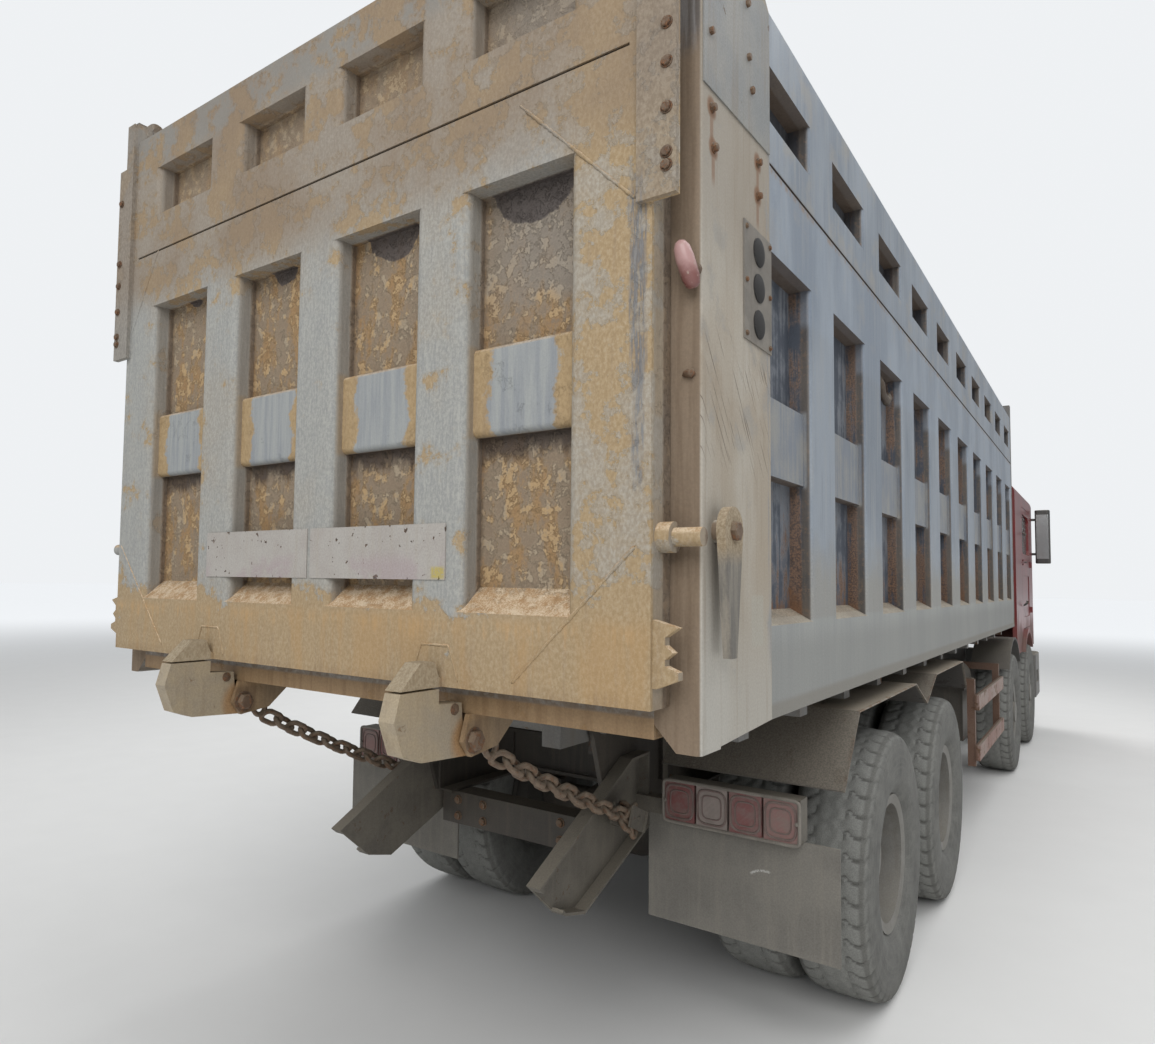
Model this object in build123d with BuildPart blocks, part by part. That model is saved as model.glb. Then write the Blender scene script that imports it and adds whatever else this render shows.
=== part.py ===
from build123d import *
import math
import os

os.makedirs("parts", exist_ok=True)

# Driving dimensions in millimetres
# Every distance named "ahead" is measured forwards from the rear face of the bed's rear posts
bed_rear_x = -5285.0
bed_length = 7500.0
bed_half_width = 1250.0
running_gap = 6.0
pin_gap = 0.3

# Running gear
wheel_radius = 562.5
tyre_width = 315.0
bead_radius = 290.0
twin_spacing = 345.0
outer_tyre_face = 1245.0
rear_axle_ahead = (2140.0, 3540.0)
steer_axle_ahead = (9445.0, 7615.0)
kingpin_y = 860.0

# Chassis frame
rail_rear_ahead = 1020.0
rail_front_ahead = 10600.0
rail_bottom = 820.0
rail_height = 280.0
rail_flange = 80.0
rail_wall = 10.0
rail_outer_y = 430.0
sub_rail_height = 60.0

# Bed
hinge_ahead = 950.0
hinge_height = 1220.0
hinge_pin_radius = 30.0
floor_bottom = 1394.0
floor_thickness = 56.0
side_depth = 70.0
plate_thickness = 15.0
side_top = 3416.0
post_width = 486.0
post_bottom = 1370.0
post_depth = 120.0
post_inner_y = 1134.0
headboard_thickness = 80.0
headboard_top = side_top + 124.0
first_rib_ahead = 875.0
rib_pitch = 716.0
rib_width = 285.0
rib_count = 9

# Tailgate
gate_half_width = 1176.0
gate_bottom = 1477.0
gate_top = side_top + 130.0
gate_outer = -105.0
gate_recess = 80.0
gate_hinge_ahead = -30.0
gate_hinge_height = gate_top + 74.0
gate_pin_radius = 20.0

# Hoist
hoist_ahead = 8050.0
hoist_foot_height = 740.0
hoist_eye_height = 2640.0
hoist_tube_radius = 112.0
hoist_stage_radii = (100.0, 88.0, 75.0, 62.0)
hoist_stage_gap = 0.5

# Cab
cab_rear_ahead = 8400.0
cab_front_ahead = 10800.0
cab_half_width = 1200.0
cab_floor = 1430.0
cab_roof = 2900.0
cab_skirt_bottom = 1060.0
cab_wall = 55.0
cab_hinge_ahead = 10750.0
cab_hinge_height = 1000.0
door_rear_ahead = 9150.0
door_front_ahead = 10190.0
door_hinge_ahead = 10187.0
door_hinge_proud = 12.3
door_hinge_heights = (1500.0, 2050.0)
hinge_barrel_radius = 12.0
door_bottom = 1300.0
door_top = 2700.0
window_sill = 2160.0
window_top = 2620.0
window_frame = 70.0
window_corner = 60.0
door_corner = 70.0
rear_window_height = 2400.0
rear_window_width = 1100.0
rear_window_tall = 400.0
rear_window_corner = 60.0
glass_thickness = 6.0


def ahead(distance):
    """Place on the truck's X axis of a distance ahead of the bed's rear face."""
    return bed_rear_x + distance


def save(piece, name):
    """Label a finished piece and write it to its file."""
    piece.part.label = name
    export_step(piece.part, f"parts/{name}.step")


def well_corners(face, low, high, depth, slope, start_depth=0.0):
    """Corners of a sunk panel's section: it goes in from the face, and its lower edge rises with the slope."""
    return (
        (face + start_depth, low + slope * start_depth),
        (face + depth, low + slope * depth),
        (face + depth, high),
        (face + start_depth, high),
    )


axle_height = wheel_radius
rail_top = rail_bottom + rail_height
sub_rail_top = rail_top + sub_rail_height
rail_length = rail_front_ahead - rail_rear_ahead
rail_middle = ahead((rail_front_ahead + rail_rear_ahead) / 2)

# Frame rails, a pair of channels that open inwards, each with a flat bar on top and a hinge bracket
bracket_thickness = 20.0
bracket_length = 400.0
with BuildPart() as frame_rails:
    with BuildSketch(Plane.YZ.offset(ahead(rail_rear_ahead))):
        with Locations((rail_outer_y - rail_flange / 2, rail_bottom + rail_height / 2)):
            Rectangle(rail_flange, rail_height)
        with Locations((rail_outer_y - rail_wall - rail_flange / 2, rail_bottom + rail_height / 2)):
            Rectangle(rail_flange, rail_height - 2 * rail_wall, mode=Mode.SUBTRACT)
        with Locations((rail_outer_y - rail_flange / 2, rail_top + sub_rail_height / 2)):
            Rectangle(rail_flange, sub_rail_height)
    extrude(amount=rail_length)
    with BuildSketch(Plane.XZ.offset(-rail_outer_y)):
        with BuildLine():
            Polyline(
                (ahead(hinge_ahead - 60), hinge_height - 30),
                (ahead(rail_rear_ahead), rail_bottom),
                (ahead(rail_rear_ahead + bracket_length), rail_bottom),
                (ahead(rail_rear_ahead + bracket_length), rail_top),
                (ahead(hinge_ahead + 60), hinge_height + 20),
                close=True,
            )
        make_face()
        with Locations((ahead(hinge_ahead), hinge_height)):
            Circle(2 * hinge_pin_radius + 10)
            Circle(hinge_pin_radius + pin_gap, mode=Mode.SUBTRACT)
    extrude(amount=-bracket_thickness)
    mirror(about=Plane.XZ)
save(frame_rails, "frame_rails")

# Cross members between the rails, the rear bar below them and the cradle of the hoist's foot
cross_member_ahead = (1500.0, 2840.0, 4300.0, 5700.0, 7000.0, 10450.0)
cross_member_depth = 120.0
cross_member_height = 180.0
rear_bar_height = 140.0
rear_bar_depth = 110.0
hoist_ear_thickness = 30.0
hoist_ear_gap = 8.0
hoist_trunnion_radius = 35.0
cradle_ear_y = hoist_tube_radius + hoist_ear_gap + hoist_ear_thickness / 2
cradle_rear_reach = 270.0
cradle_front_reach = 200.0
cradle_low_reach = 70.0
inner_rail_y = rail_outer_y - rail_wall
with BuildPart() as cross_members:
    for place in cross_member_ahead:
        with Locations((ahead(place), 0, rail_bottom + rail_height / 2)):
            Box(cross_member_depth, 2 * inner_rail_y, cross_member_height)
            Box(cross_member_depth, 2 * inner_rail_y - 200, cross_member_height - 30, mode=Mode.SUBTRACT)
            Box(cross_member_depth - 30, 2 * inner_rail_y - 200, cross_member_height)
    with Locations((ahead(rail_rear_ahead + 90), 0, rail_bottom - rear_bar_height / 2)):
        Box(rear_bar_depth, 2 * rail_outer_y, rear_bar_height)
    for reach in (-cradle_rear_reach, cradle_front_reach):
        with Locations((ahead(hoist_ahead + reach), 0, rail_bottom + 60)):
            Box(60, 2 * inner_rail_y, 100)
    for side in (-1, 1):
        with Locations((ahead(cab_rear_ahead + 60), side * (rail_outer_y - rail_flange / 2), (sub_rail_top + cab_floor - pin_gap) / 2)):
            Box(90, rail_flange, cab_floor - pin_gap - sub_rail_top)
        with BuildSketch(Plane.XZ.offset(-side * cradle_ear_y)):
            with BuildLine():
                Polyline(
                    (ahead(hoist_ahead - cradle_rear_reach), rail_bottom + 110),
                    (ahead(hoist_ahead + cradle_front_reach), rail_bottom + 110),
                    (ahead(hoist_ahead + cradle_front_reach), rail_bottom + 10),
                    (ahead(hoist_ahead + cradle_low_reach), hoist_foot_height - 50),
                    (ahead(hoist_ahead - cradle_low_reach), hoist_foot_height - 50),
                    (ahead(hoist_ahead - cradle_rear_reach), rail_bottom + 10),
                    close=True,
                )
            make_face()
            with Locations((ahead(hoist_ahead), hoist_foot_height)):
                Circle(hoist_trunnion_radius + pin_gap, mode=Mode.SUBTRACT)
        extrude(amount=hoist_ear_thickness / 2, both=True)
save(cross_members, "cross_members")

# Leaf springs: a pair between the rear axles and one at each end of both front axles
rear_spring_y = 485.0
rear_spring_width = 90.0
rear_spring_reach = 740.0
rear_spring_bottom = 675.0
front_spring_y = 385.0
front_spring_width = 80.0
front_spring_reach = 750.0
front_spring_height = 640.0
bogie_ahead = sum(rear_axle_ahead) / 2
with BuildPart() as leaf_springs:
    with BuildSketch(Plane.XZ.offset(-rear_spring_y)):
        with BuildLine():
            rear_end = (ahead(bogie_ahead - rear_spring_reach), rear_spring_bottom)
            fore_end = (ahead(bogie_ahead + rear_spring_reach), rear_spring_bottom)
            Line(rear_end, (rear_end[0], rear_end[1] + 35))
            ThreePointArc(
                (rear_end[0], rear_end[1] + 35),
                (ahead(bogie_ahead), rear_spring_bottom + 125),
                (fore_end[0], fore_end[1] + 35),
            )
            Line((fore_end[0], fore_end[1] + 35), fore_end)
            Line(fore_end, rear_end)
        make_face()
        with Locations((ahead(bogie_ahead), rear_spring_bottom + 60)):
            Rectangle(200, 240)
    extrude(amount=rear_spring_width / 2, both=True)
    with Locations((ahead(bogie_ahead), (rail_outer_y + rear_spring_y) / 2, rear_spring_bottom + 190)):
        Box(220, rear_spring_y - rail_outer_y, 90)
    with Locations((ahead(bogie_ahead), rear_spring_y + 22, rear_spring_bottom + 190)):
        Box(220, 46, 90)
    for place in steer_axle_ahead:
        with BuildSketch(Plane.XZ.offset(-front_spring_y)):
            with BuildLine():
                low_end = (ahead(place - front_spring_reach), front_spring_height + 130)
                high_end = (ahead(place + front_spring_reach), front_spring_height + 130)
                ThreePointArc(low_end, (ahead(place), front_spring_height + 60), high_end)
                Line(high_end, (high_end[0], high_end[1] - 30))
                ThreePointArc(
                    (high_end[0], high_end[1] - 30),
                    (ahead(place), front_spring_height),
                    (low_end[0], low_end[1] - 30),
                )
                Line((low_end[0], low_end[1] - 30), low_end)
            make_face()
            shackle_bottom = low_end[1] - 40
            for end in (-front_spring_reach + 30, front_spring_reach - 30):
                with Locations((ahead(place + end), (shackle_bottom + rail_bottom) / 2)):
                    Rectangle(60, rail_bottom - shackle_bottom)
        extrude(amount=front_spring_width / 2, both=True)
    mirror(about=Plane.XZ)
save(leaf_springs, "leaf_springs")

# Rear axle housings, with their round gear cases, stub ends that carry the hubs and drive shafts
gearbox_rear_ahead = 8300.0
shaft_radius = 45.0
shaft_overlap = 10.0
housing_radius = 75.0
gear_case_radius = 215.0
pinion_radius = 90.0
pinion_length = 260.0
pinion_rise = 40.0
# Columns: radius, distance from the middle plane
gear_case_line = ((75.0, 300.0), (130.0, 215.0), (195.0, 110.0), (gear_case_radius, 45.0))
housing_end_y = 560.0
stub_radius = 50.0
stub_end_y = 1080.0
with BuildPart() as rear_axles:
    for place in rear_axle_ahead:
        with Locations(Location((ahead(place), 0, axle_height), (90, 0, 0))):
            Cylinder(housing_radius, 2 * housing_end_y)
            Cylinder(stub_radius, 2 * stub_end_y)
        with BuildSketch(Plane.XY.offset(axle_height)):
            with BuildLine():
                Polyline(
                    (ahead(place), gear_case_line[0][1]),
                    *[(ahead(place) + radius, side_y) for radius, side_y in gear_case_line],
                    *[(ahead(place) + radius, -side_y) for radius, side_y in reversed(gear_case_line)],
                    (ahead(place), -gear_case_line[0][1]),
                    close=True,
                )
            make_face()
        revolve(axis=Axis((ahead(place), 0, axle_height), (0, 1, 0)))
        pinion_middle = (ahead(place) + gear_case_radius, 0, axle_height + pinion_rise)
        with Locations(Location(pinion_middle, (0, 90, 0))):
            Cylinder(pinion_radius, pinion_length)
        for side in (-1, 1):
            with Locations((ahead(place), side * rear_spring_y, (axle_height + rear_spring_bottom) / 2)):
                Box(160, rear_spring_width, rear_spring_bottom - axle_height)
    pinion_reach = gear_case_radius + pinion_length / 2
    for shaft_start, shaft_end in (
        (rear_axle_ahead[0] + pinion_reach, rear_axle_ahead[1] - gear_case_radius + shaft_overlap),
        (rear_axle_ahead[1] + pinion_reach, gearbox_rear_ahead),
    ):
        with BuildSketch(Plane.YZ.offset(ahead(shaft_start))):
            with Locations((0, axle_height + pinion_rise)):
                Circle(shaft_radius)
        extrude(amount=shaft_end - shaft_start)
save(rear_axles, "rear_axles")

# Front axle beams: dropped forgings whose ends carry the kingpins
beam_depth = 90.0
beam_end_height = 130.0
beam_drop = 145.0
kingpin_radius = 25.0
beam_eye_radius = 48.0
beam_top = axle_height + 110 - beam_drop
with BuildPart() as front_axles:
    for place in steer_axle_ahead:
        with BuildSketch(Plane.YZ.offset(ahead(place))):
            with BuildLine():
                Polyline(
                    (-kingpin_y, axle_height + beam_end_height / 2),
                    (-kingpin_y + 130, axle_height + beam_end_height / 2),
                    (-kingpin_y + 320, beam_top),
                    (kingpin_y - 320, beam_top),
                    (kingpin_y - 130, axle_height + beam_end_height / 2),
                    (kingpin_y, axle_height + beam_end_height / 2),
                    (kingpin_y, axle_height - beam_end_height / 2),
                    (kingpin_y - 110, axle_height - beam_end_height / 2),
                    (kingpin_y - 330, axle_height - beam_drop - 60),
                    (-kingpin_y + 330, axle_height - beam_drop - 60),
                    (-kingpin_y + 110, axle_height - beam_end_height / 2),
                    (-kingpin_y, axle_height - beam_end_height / 2),
                    close=True,
                )
            make_face()
        extrude(amount=beam_depth / 2, both=True)
        with Locations((ahead(place), kingpin_y, axle_height), (ahead(place), -kingpin_y, axle_height)):
            Cylinder(beam_eye_radius, beam_end_height)
            Cylinder(kingpin_radius + pin_gap, beam_end_height, mode=Mode.SUBTRACT)
        for side in (-1, 1):
            with Locations((ahead(place), side * front_spring_y, (beam_top - 1 + front_spring_height) / 2)):
                Box(beam_depth + 60, front_spring_width, front_spring_height - beam_top + 1)
save(front_axles, "front_axles")

# Steering knuckles: a fork on the kingpin with a stub for the wheel
fork_plate = 40.0
fork_gap = 5.0
stub_reach = 1085.0
front_stub_radius = 40.0
for number, place in enumerate(steer_axle_ahead, 1):
    for side_name, side in (("left", 1), ("right", -1)):
        with BuildPart() as knuckle:
            fork_z = beam_end_height / 2 + fork_gap + fork_plate / 2
            fork_reach = beam_eye_radius + 16
            for level in (-1, 1):
                with Locations((ahead(place), side * (kingpin_y + 5), axle_height + level * fork_z)):
                    Box(90, 2 * fork_reach, fork_plate)
            with Locations((ahead(place), side * kingpin_y, axle_height)):
                Cylinder(kingpin_radius, beam_end_height + 2 * fork_gap + 2 * fork_plate + 30)
            with Locations((ahead(place), side * (kingpin_y + fork_reach - 2), axle_height)):
                Box(90, 14, beam_end_height + 2 * fork_gap + 2 * fork_plate)
            stub_start = kingpin_y + fork_reach
            with Locations(Location((ahead(place), side * (stub_start + stub_reach) / 2, axle_height), (90, 0, 0))):
                Cylinder(front_stub_radius, stub_reach - stub_start)
        save(knuckle, f"knuckle_{number}_{side_name}")

# Tyres and rims, drawn as half sections in the plane of the axle and turned about it
tread_half = 112.0
rim_half_width = 118.0
rim_wall = 14.0
disc_wall = 16.0
barrel_radius = 262.0
hand_hole_radius = 26.0
hand_hole_count = 8
hand_hole_circle = 205.0
# Columns: radius, distance from the tyre's middle plane
tyre_line = (
    (barrel_radius + 0.3, rim_half_width - 5),
    (bead_radius + 1, rim_half_width - 0.5),
    (bead_radius + 12, rim_half_width + 10),
    (bead_radius + 62, tyre_width / 2 - 5),
    (bead_radius + 130, tyre_width / 2),
    (wheel_radius - 45, tyre_width / 2 - 6),
    (wheel_radius - 8, tread_half + 6),
    (wheel_radius, tread_half - 45),
)


def tyre_section(middle_y):
    """Half section of a tyre about the wheel axis, with the wheel axis as the sketch's Y."""
    with BuildSketch(Plane.XY) as section:
        with BuildLine():
            Polyline(
                *[(radius, middle_y - reach) for radius, reach in tyre_line],
                *[(radius, middle_y + reach) for radius, reach in reversed(tyre_line)],
                close=True,
            )
        make_face()
    return section.sketch


outer_wheel_y = outer_tyre_face - tyre_width / 2
inner_wheel_y = outer_wheel_y - twin_spacing
disc_plane_y = (outer_wheel_y + inner_wheel_y) / 2
hub_radius = 150.0
drum_radius = 215.0


def rim_ring(middle_y, disc_y, direction):
    """Half section of a rim's barrel, flanges and dished disc."""
    with BuildSketch(Plane.XY) as section:
        with BuildLine():
            Polyline(
                (bead_radius, middle_y - rim_half_width - 8),
                (bead_radius, middle_y - rim_half_width),
                (barrel_radius, middle_y - rim_half_width + 4),
                (barrel_radius, middle_y + rim_half_width - 4),
                (bead_radius, middle_y + rim_half_width),
                (bead_radius, middle_y + rim_half_width + 8),
                (barrel_radius - rim_wall, middle_y + rim_half_width),
                (barrel_radius - rim_wall, middle_y - rim_half_width),
                close=True,
            )
        make_face()
        with BuildLine():
            Polyline(
                (barrel_radius - rim_wall + 1, disc_y - direction * 75),
                (barrel_radius - rim_wall + 1, disc_y - direction * (75 + disc_wall)),
                (hub_radius - 40, disc_y - direction * disc_wall),
                (hub_radius - 40, disc_y),
                (170, disc_y),
                close=True,
            )
        make_face()
    return section.sketch


for number, place in enumerate(steer_axle_ahead, 1):
    for side_name, side in (("left", 1), ("right", -1)):
        wheel_plane = Location((ahead(place), 0, axle_height))
        with BuildPart() as tyre:
            revolve(wheel_plane * tyre_section(side * outer_wheel_y), axis=Axis((ahead(place), 0, axle_height), (0, 1, 0)))
        save(tyre, f"front_tyre_{number}_{side_name}")
        disc_y = side * (outer_wheel_y + 70)
        with BuildPart() as rim:
            revolve(wheel_plane * rim_ring(side * outer_wheel_y, disc_y, side), axis=Axis((ahead(place), 0, axle_height), (0, 1, 0)))
            with Locations(Location((ahead(place), disc_y, axle_height), (90, 0, 0))):
                with PolarLocations(hand_hole_circle, hand_hole_count):
                    Cylinder(hand_hole_radius, 260, mode=Mode.SUBTRACT)
            with Locations(Location((ahead(place), side * 1105, axle_height), (90, 0, 0))):
                Cylinder(hub_radius, 120)
            with Locations(Location((ahead(place), side * 990, axle_height), (90, 0, 0))):
                Cylinder(drum_radius, 110)
                Cylinder(hub_radius + 30, 110)
            with Locations(Location((ahead(place), side * 1190, axle_height), (90, 0, 0))):
                Cylinder(95, 90)
            with Locations(Location((ahead(place), side * 1000, axle_height), (90, 0, 0))):
                Cylinder(front_stub_radius + pin_gap, 2 * (stub_reach + 1 - 1000), mode=Mode.SUBTRACT)
        save(rim, f"front_rim_{number}_{side_name}")

for number, place in enumerate(rear_axle_ahead, 1):
    for side_name, side in (("left", 1), ("right", -1)):
        wheel_plane = Location((ahead(place), 0, axle_height))
        spin_axis = Axis((ahead(place), 0, axle_height), (0, 1, 0))
        with BuildPart() as tyre:
            revolve(wheel_plane * tyre_section(side * outer_wheel_y), axis=spin_axis)
            revolve(wheel_plane * tyre_section(side * inner_wheel_y), axis=spin_axis)
        save(tyre, f"rear_tyres_{number}_{side_name}")
        with BuildPart() as rim:
            revolve(wheel_plane * rim_ring(side * outer_wheel_y, side * disc_plane_y, -side), axis=spin_axis)
            revolve(wheel_plane * rim_ring(side * inner_wheel_y, side * disc_plane_y, side), axis=spin_axis)
            with Locations(Location((ahead(place), side * disc_plane_y, axle_height), (90, 0, 0))):
                with PolarLocations(hand_hole_circle, hand_hole_count):
                    Cylinder(hand_hole_radius, 400, mode=Mode.SUBTRACT)
                Cylinder(hub_radius, 2 * disc_wall + 60)
            with Locations(Location((ahead(place), side * 680, axle_height), (90, 0, 0))):
                Cylinder(drum_radius, 200)
            with Locations(Location((ahead(place), side * 960, axle_height), (90, 0, 0))):
                Cylinder(110, 380)
            bore_middle_y = (stub_end_y + 1 + housing_end_y) / 2
            with Locations(Location((ahead(place), side * bore_middle_y, axle_height), (90, 0, 0))):
                Cylinder(stub_radius + pin_gap, stub_end_y + 1 - housing_end_y, mode=Mode.SUBTRACT)
        save(rim, f"rear_rims_{number}_{side_name}")

# Engine and gearbox as one block below the cab
engine_rear_ahead = 8600.0
engine_front_ahead = 10300.0
engine_half_width = 340.0
engine_top = 1380.0
engine_bottom = 640.0
gearbox_half_width = 220.0
gearbox_top = 1000.0
gearbox_bottom = 480.0
with BuildPart() as engine_block:
    with Locations((ahead((engine_rear_ahead + engine_front_ahead) / 2), 0, (engine_bottom + engine_top) / 2)):
        Box(engine_front_ahead - engine_rear_ahead, 2 * engine_half_width, engine_top - engine_bottom)
    with Locations((ahead((gearbox_rear_ahead + engine_rear_ahead) / 2), 0, (gearbox_bottom + gearbox_top) / 2)):
        Box(engine_rear_ahead - gearbox_rear_ahead, 2 * gearbox_half_width, gearbox_top - gearbox_bottom)
    for place in (engine_rear_ahead + 300, engine_front_ahead - 300):
        with Locations((ahead(place), 0, rail_bottom + rail_height / 2)):
            Box(120, 2 * inner_rail_y, 120)
save(engine_block, "engine_block")

# Fuel tank on the left, battery box and air tanks on the right
tank_rear_ahead = 5350.0
tank_front_ahead = 6650.0
tank_inner_y = 470.0
tank_outer_y = 1120.0
tank_bottom = 480.0
tank_top = 1050.0
tank_corner = 90.0
tank_strap_inset = 250.0
tank_strap_width = 70.0
with BuildPart() as fuel_tank:
    with BuildSketch(Plane.YZ.offset(ahead(tank_rear_ahead))):
        with Locations(((tank_inner_y + tank_outer_y) / 2, (tank_bottom + tank_top) / 2)):
            RectangleRounded(tank_outer_y - tank_inner_y, tank_top - tank_bottom, tank_corner)
    extrude(amount=tank_front_ahead - tank_rear_ahead)
    for place in (tank_rear_ahead + tank_strap_inset, tank_front_ahead - tank_strap_inset):
        with BuildSketch(Plane.YZ.offset(ahead(place) - tank_strap_width / 2)):
            with Locations(((tank_inner_y + tank_outer_y) / 2, (tank_bottom + tank_top) / 2)):
                RectangleRounded(tank_outer_y - tank_inner_y + 8, tank_top - tank_bottom + 8, tank_corner + 4)
            with Locations(((rail_outer_y + tank_inner_y + 20) / 2, 900)):
                Rectangle(tank_inner_y + 20 - rail_outer_y, 200)
        extrude(amount=tank_strap_width)
    with Locations((ahead(tank_front_ahead - 160), tank_outer_y - 130, tank_top + 25)):
        Cylinder(55, 60)
save(fuel_tank, "fuel_tank")

air_tank_radius = 140.0
with BuildPart() as batteries_and_air_tanks:
    with Locations((ahead(tank_rear_ahead + 300), -(tank_inner_y + 560) / 2 - 260, 800)):
        Box(560, 600, 420)
    with Locations((ahead(tank_rear_ahead + 300), -(tank_inner_y + 560) / 2 - 260, 1000)):
        lid = Box(590, 630, 50)
    fillet(batteries_and_air_tanks.faces().filter_by(Axis.Z).sort_by(Axis.Z)[-1].edges(), 15)
    for height in (680.0, 980.0):
        with BuildSketch(Plane.XZ.offset(850)):
            with Locations((ahead(tank_front_ahead - 370), height)):
                RectangleRounded(700, 2 * air_tank_radius, air_tank_radius / 2)
                with Locations((0, -air_tank_radius)):
                    Rectangle(800, 2 * air_tank_radius, mode=Mode.SUBTRACT)
        revolve(axis=Axis((ahead(tank_front_ahead - 370), -850, height), (1, 0, 0)))
    for place in (tank_rear_ahead + 100, tank_front_ahead - 500, tank_front_ahead - 150):
        with Locations((ahead(place), -(rail_outer_y + 720) / 2, 900)):
            Box(60, 720 - rail_outer_y, 160)
save(batteries_and_air_tanks, "batteries_and_air_tanks")

# Side guards: two rails on posts along each side, hung from the frame
guard_rear_ahead = 5200.0
guard_front_ahead = 6880.0
guard_y = 1190.0
guard_heights = (540.0, 910.0)
guard_depth = 30.0
guard_rail_height = 110.0
with BuildPart() as side_guards:
    for height in guard_heights:
        with Locations((ahead((guard_rear_ahead + guard_front_ahead) / 2), guard_y, height)):
            Box(guard_front_ahead - guard_rear_ahead, guard_depth, guard_rail_height)
    for place in (guard_rear_ahead + 40, guard_front_ahead - 40):
        with Locations((ahead(place), guard_y - 40, 760)):
            Box(60, 50, 640)
        with Locations((ahead(place), (guard_y - 40 + rail_outer_y) / 2, 1050)):
            Box(60, guard_y - 40 - rail_outer_y, 60)
    mirror(about=Plane.XZ)
save(side_guards, "side_guards")

# Rear mudguards: folded sheets over both rear axles, with a valance outside the tyres
guard_sheet = 5.0
mudguard_inner_y = 560.0
mudguard_outer_y = 1250.0
# Columns: distance ahead, height
mudguard_line = (
    (1240.0, 1050.0),
    (1465.0, 1300.0),
    (2560.0, 1300.0),
    (2840.0, 1180.0),
    (3120.0, 1300.0),
    (4080.0, 1300.0),
    (4240.0, 1120.0),
)
with BuildPart() as rear_mudguards:
    with BuildSketch(Plane.XZ.offset(-mudguard_inner_y)):
        with BuildLine():
            Polyline(
                *[(ahead(place), height) for place, height in mudguard_line],
                *[(ahead(place), height - guard_sheet) for place, height in reversed(mudguard_line)],
                close=True,
            )
        make_face()
    extrude(amount=-(mudguard_outer_y - mudguard_inner_y))
    for place, height in ((1500.0, 1300.0), (2840.0, 1180.0), (4060.0, 1300.0)):
        stay_top = height - guard_sheet
        with Locations((ahead(place), (rail_outer_y + mudguard_inner_y + 100) / 2, stay_top - 20)):
            Box(50, mudguard_inner_y + 100 - rail_outer_y, 40)
        with Locations((ahead(place), rail_outer_y + 10, (stay_top + rail_bottom + 100) / 2)):
            Box(50, 20, stay_top - rail_bottom - 100)
    mirror(about=Plane.XZ)
save(rear_mudguards, "rear_mudguards")

# Mudguards over the second steered axle
arch_radius = 700.0
arch_spread = 50.0
with BuildPart() as front_mudguards:
    with BuildSketch(Plane.XZ.offset(-930)):
        with Locations((ahead(steer_axle_ahead[1]), axle_height)):
            Circle(arch_radius + 20)
            Circle(arch_radius, mode=Mode.SUBTRACT)
            with Locations((0, -400)):
                Rectangle(2000, 1700, mode=Mode.SUBTRACT)
    extrude(amount=-310)
    with Locations((ahead(steer_axle_ahead[1]), (rail_outer_y + 1000) / 2, axle_height + arch_radius + 10)):
        Box(60, 1000 - rail_outer_y, 30)
    with Locations((ahead(steer_axle_ahead[1]), rail_outer_y + 15, axle_height + arch_radius - 115)):
        Box(60, 30, 260)
    mirror(about=Plane.XZ)
save(front_mudguards, "front_mudguards")

# Arms that hang behind the frame's end, with the brackets and boxes of the tail lamps
flap_ahead = 1200.0
flap_inner_y = 500.0
flap_outer_y = 1230.0
lamp_inner_y = 595.0
lamp_outer_y = 1109.0
lamp_bottom = 845.0
lamp_top = 1000.0
arm_wall = 10.0
arm_depth = 55.0
# Columns: distance ahead, height
arm_line = ((458.0, 764.0), (616.0, 631.0), (746.0, 598.0), (1240.0, 790.0), (1240.0, 1085.0), (1093.0, 1080.0))
chain_bracket_wall = 8.0
chain_bracket_half = 38.0
chain_bracket_reach = 34.0
chain_y = 548.0
chain_foot = (980.0, 890.0)
chain_head = (150.0, 1250.0)
link_length = 98.0
link_width = 54.0
link_bar = 16.0
chain_pin_radius = 9.5
chain_vector = Vector(chain_head[0] - chain_foot[0], 0, chain_head[1] - chain_foot[1])
chain_run = chain_vector.length
chain_lean = -math.degrees(math.atan2(chain_head[1] - chain_foot[1], chain_foot[0] - chain_head[0]))
link_pitch = link_length - 2 * link_bar - 1
first_link_reach = link_length / 2 - link_bar - (link_width - 2 * link_bar) / 2
link_total = int((chain_run - first_link_reach) // link_pitch)
arm_inner_y = rail_outer_y + bracket_thickness
chain_pin_reach = chain_bracket_reach + 2 * chain_bracket_wall
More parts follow.
